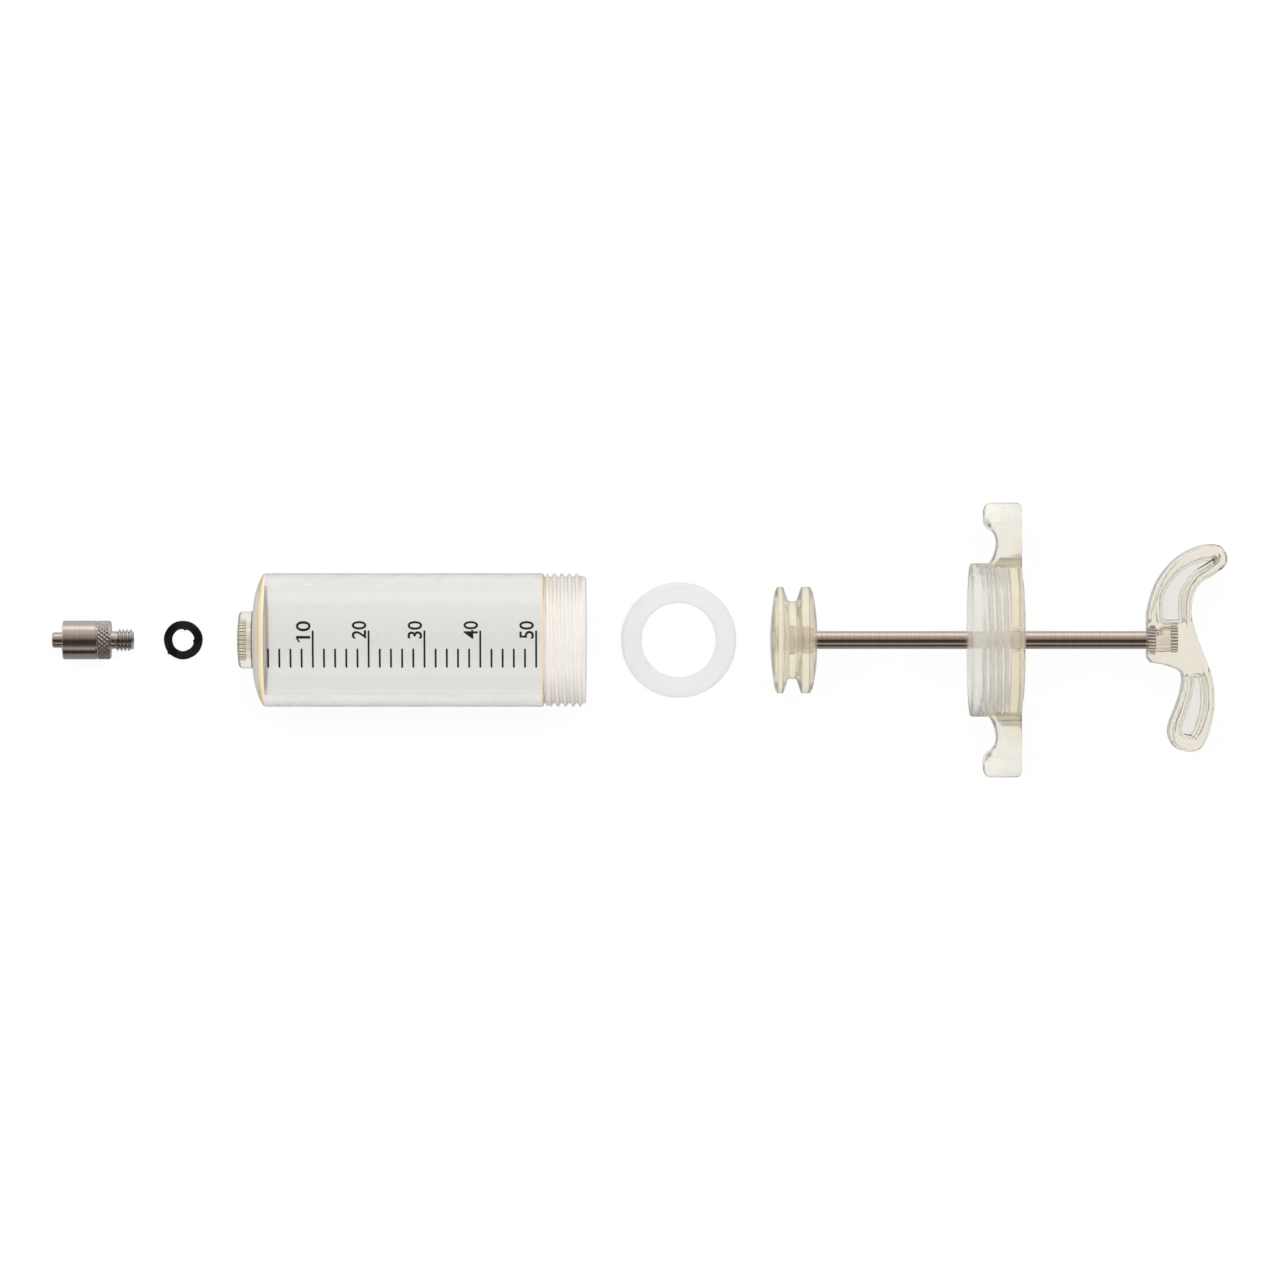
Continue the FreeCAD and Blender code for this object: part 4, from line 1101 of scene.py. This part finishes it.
inward = inward_from(outline)
for index, here in enumerate(outline):
    if here.y < WING_ROOT + 0.1:
        inward[index] = Vector((math.copysign(1, CAP_LENGTH - WING_ROOT_DEPTH / 2 - here.x), 0))
layers = rounded_layers(WING_WIDTH / 2, WING_EDGE_ROUND, 0.8)
for side in (1, -1):
    def place(x, y, up):
        past = max(0.0, abs(up) - (WING_WIDTH / 2 - WING_END_ROUND))
        lost = WING_END_ROUND - math.sqrt(max(0.0, WING_END_ROUND ** 2 - past ** 2))
        y -= lost * max(0.0, y - WING_BEND) / (WING_REACH - WING_BEND)
        return cap_start + x * MM, side * y * MM, ROD_HEIGHT + up * MM
    combine(cap, slab("wing", outline, inward, layers, place, cap_plastic), "UNION")

# Marks on the wings stay within their rounded edges, clear of their flat faces
MARKED_HALF = 6.95
JOIN_REACH = 20.3
JOIN_WIDTH = 1.1
JOIN_SPREAD = 1.4
JOIN_FROM = 4.5
BACK_AMBER = 0.25
HOOK_REACH = 30.5
HOOK_DEPTH = 6.5
HOOK_FROST = 0.5
RING_FROST = 0.2


def cap_amber(x, y, z):
    """Where the wings run into the ring, and a little along the back wall."""
    along = x - cap_start / MM
    beside = max(0.0, 1 - abs(abs(y) - JOIN_REACH) / JOIN_WIDTH)
    if abs(z - ROD_HEIGHT / MM) < MARKED_HALF and along > JOIN_FROM:
        return min(1.0, JOIN_SPREAD * beside)
    return BACK_AMBER if along > CAP_FLOOR + 0.1 and abs(y) < CAP_RADIUS + 0.6 else 0.0


def cap_frosted(x, y, z):
    """The ring a little, and the tips of the hooks."""
    along = x - cap_start / MM
    if abs(y) > HOOK_REACH and along < HOOK_DEPTH and abs(z - ROD_HEIGHT / MM) < MARKED_HALF:
        return HOOK_FROST
    return RING_FROST if along < CAP_FLOOR and abs(y) < CAP_RADIUS + 0.2 else 0.0


mark(cap, "amber", cap_amber)
mark(cap, "frosted", cap_frosted)
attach(cap, "cap")
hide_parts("cap")


# Handle: an S of clear plastic with a solid hub and a thin web in each arm, in one moulding.
# The rod is screwed into the nut in its hub.

handle_plastic = clear_plastic("polished_polycarbonate_handle", "#FBFAF7", 9.0, haze=0.08)
HANDLE_DEPTH = 21.0
HANDLE_REACHES = (25.4, 29.7)
HANDLE_THICKNESS = 13.0
HANDLE_WEB = 3.0
HANDLE_RIMS = (2.2, 3.4)
RIM_WIDENING = 6
HANDLE_EDGE_ROUND = 1.2
HUB_ENDS = (4.4, 8.9)
HUB_FOOT_ROUND = 1.4
POCKET_CORNER = 1.2
POCKET_CLEAR = 2.1
FLANGE = (3.9, 2.0)
WAIST = (3.1, 5.85)
HEAD = (3.4, 7.85)
NUT_GRIP = 0.85
NUT_RECESS = 0.2
RIM_AMBER = 0.12
HANDLE_OUTLINE = [
    # Shares of the handle's depth, and of its upper or lower reach
    (0.000, 0.277), (0.047, 0.445), (0.136, 0.630), (0.300, 0.807), (0.480, 0.921),
    (0.680, 0.992), (0.828, 1.000), (0.935, 0.968), (1.000, 0.854), (0.963, 0.768),
    (0.828, 0.681), (0.679, 0.606), (0.591, 0.508), (0.553, 0.370), (0.553, 0.230),
    (0.609, 0.061), (0.698, -0.118), (0.772, -0.249), (0.828, -0.407), (0.837, -0.604),
    (0.781, -0.801), (0.716, -0.919), (0.647, -0.980), (0.530, -1.000), (0.391, -0.973),
    (0.309, -0.919), (0.267, -0.828), (0.291, -0.724), (0.363, -0.593), (0.428, -0.448),
    (0.446, -0.330), (0.400, -0.268), (0.228, -0.222), (0.056, -0.202),
]
HUB_FOOT = (0.000, -0.158)
handle_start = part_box("handle")[0][0]


def handle_point(along, reach):
    """A point of the outline in mm, from its shares of the depth and of the reach."""
    return Vector((HANDLE_DEPTH * along, HANDLE_REACHES[reach <= 0] * reach))


def smooth(points, steps=6):
    """A smooth open curve through points."""
    ends = [points[0] * 2 - points[1]] + points + [points[-1] * 2 - points[-2]]
    curve = []
    for a, b, c, e in zip(ends, ends[1:], ends[2:], ends[3:]):
        for step in range(steps):
            t = step / steps
            curve.append(((b * 2) + (c - a) * t + (a * 2 - b * 5 + c * 4 - e) * t ** 2
                          + (b * 3 - a - c * 3 + e) * t ** 3) / 2)
    return curve + [points[-1]]


def handle_place(x, y, up):
    """A point of the handle in metres, from its place in the outline and its height in mm."""
    return handle_start + x * MM, y * MM, ROD_HEIGHT + up * MM


sweep = [handle_point(*share) for share in HANDLE_OUTLINE]
outline = [v for v in smooth(sweep) if 0 <= v.x <= HANDLE_DEPTH]
foot = handle_point(*HUB_FOOT)
outline = rounded([tuple(v) for v in outline] + [(foot.x, foot.y, HUB_FOOT_ROUND)])
handle = slab("handle_moulding", outline, inward_from(outline),
              rounded_layers(HANDLE_THICKNESS / 2, HANDLE_EDGE_ROUND, 4), handle_place,
              handle_plastic)

# The pockets narrow a little towards the web, with a fillet round their floor and soft rims
floor = HANDLE_WEB / 2
POCKET_LAYERS = [(floor, 1.0), (floor + 0.12, 0.6), (floor + 0.45, 0.3), (floor + 1.0, 0.15),
                 (HANDLE_THICKNESS / 2 - 0.6, 0.0), (HANDLE_THICKNESS / 2 - 0.25, -0.15),
                 (HANDLE_THICKNESS / 2, -0.55), (HANDLE_THICKNESS / 2 + 0.3, -0.8)]
for hub_end, arm in zip(HUB_ENDS, (1, -1)):
    rim_points = []
    for before, here, after in zip(sweep, sweep[1:], sweep[2:]):
        along = (after - before).normalized()
        near_tip = abs(here.y / HANDLE_REACHES[here.y <= 0]) ** RIM_WIDENING
        rim = HANDLE_RIMS[0] + (HANDLE_RIMS[1] - HANDLE_RIMS[0]) * near_tip
        rim_points.append(here + Vector((along.y, -along.x)) * rim)
    arm_points = [p for p in rim_points if (p.y - hub_end * arm) * arm > 0]
    ends = []
    for inner, outer_step in ((arm_points[0], -1), (arm_points[-1], 1)):
        beyond = rim_points.index(inner) + outer_step
        if beyond < 0 or (rim_points[beyond].y - inner.y) * arm >= 0:
            ends.append(Vector((inner.x, hub_end * arm)))
        else:
            share = (hub_end * arm - inner.y) / (rim_points[beyond].y - inner.y)
            ends.append(inner.lerp(rim_points[beyond], share))
    curve = smooth([ends[0]] + arm_points + [ends[1]], 5)
    clear_of_ends = [tuple(p) for p in curve if min((p - end).length for end in ends) > POCKET_CLEAR]
    pocket = rounded([(*ends[0], POCKET_CORNER), *clear_of_ends, (*ends[1], POCKET_CORNER)])
    for face in (1, -1):
        layers = [(face * up, inset) for up, inset in POCKET_LAYERS]
        combine(handle, slab("pocket", pocket, inward_from(pocket), layers, handle_place,
                             handle_plastic), "DIFFERENCE")
cavity = lathe("cavity", [
    (-1, 0),
    (-1, FLANGE[0] * NUT_GRIP),
    (FLANGE[1] + NUT_RECESS, FLANGE[0] * NUT_GRIP),
    (FLANGE[1] + NUT_RECESS, WAIST[0] * NUT_GRIP),
    (WAIST[1] + NUT_RECESS, WAIST[0] * NUT_GRIP),
    (WAIST[1] + NUT_RECESS, HEAD[0] * NUT_GRIP),
    (HEAD[1] + 0.15, HEAD[0] * NUT_GRIP),
    (HEAD[1] + 0.15, 0),
], handle_start, ROD_HEIGHT, handle_plastic, sides=64)
combine(handle, cavity, "DIFFERENCE")


def handle_amber(x, y, z):
    """The rims and floors of the pockets."""
    up = abs(z - ROD_HEIGHT / MM)
    if up > HANDLE_THICKNESS / 2 - 0.3 or floor + 0.05 < up < floor + 1.1:
        return RIM_AMBER
    return 0.0


mark(handle, "amber", handle_amber)
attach(handle, "syringe")
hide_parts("handle")


# Nut in the handle: nickel-plated brass with a flange, a waist that the plastic flowed round
# and a head, both rims knurled straight so that it can't turn.

FLANGE_TEETH = 27
HEAD_TEETH = 24
nut_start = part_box("handle_nut")[0][0]
handle_nut = lathe("handle_nut_knurled", [
    (0, SPIGOT_HOLE[0]),
    (0, FLANGE[0] - 0.2),
    *evenly((0.2, FLANGE[0]), (FLANGE[1] - 0.15, FLANGE[0]), 0.2),
    (FLANGE[1], FLANGE[0] - 0.2),
    (FLANGE[1], WAIST[0], 0.15),
    (WAIST[1], WAIST[0], 0.15),
    (WAIST[1], HEAD[0] - 0.2),
    *evenly((WAIST[1] + 0.15, HEAD[0]), (HEAD[1] - 0.2, HEAD[0]), 0.2),
    (HEAD[1], HEAD[0] - 0.25),
    (HEAD[1], 0),
    (SPIGOT_HOLE[1], 0),
    (SPIGOT_HOLE[1], SPIGOT_HOLE[0]),
], nut_start, ROD_HEIGHT, insert_metal, sides=216)
cut_ridges(handle_nut, ROD_HEIGHT, nut_start, nut_start + FLANGE[1] * MM,
           (FLANGE[0] - 0.3, FLANGE[0] + 0.1), 0.26, count=FLANGE_TEETH, run_out=0.1)
cut_ridges(handle_nut, ROD_HEIGHT, nut_start + WAIST[1] * MM, nut_start + HEAD[1] * MM,
           (HEAD[0] - 0.3, HEAD[0] + 0.1), 0.24, count=HEAD_TEETH, run_out=0.1)
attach(handle_nut, "syringe")
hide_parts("handle_nut")
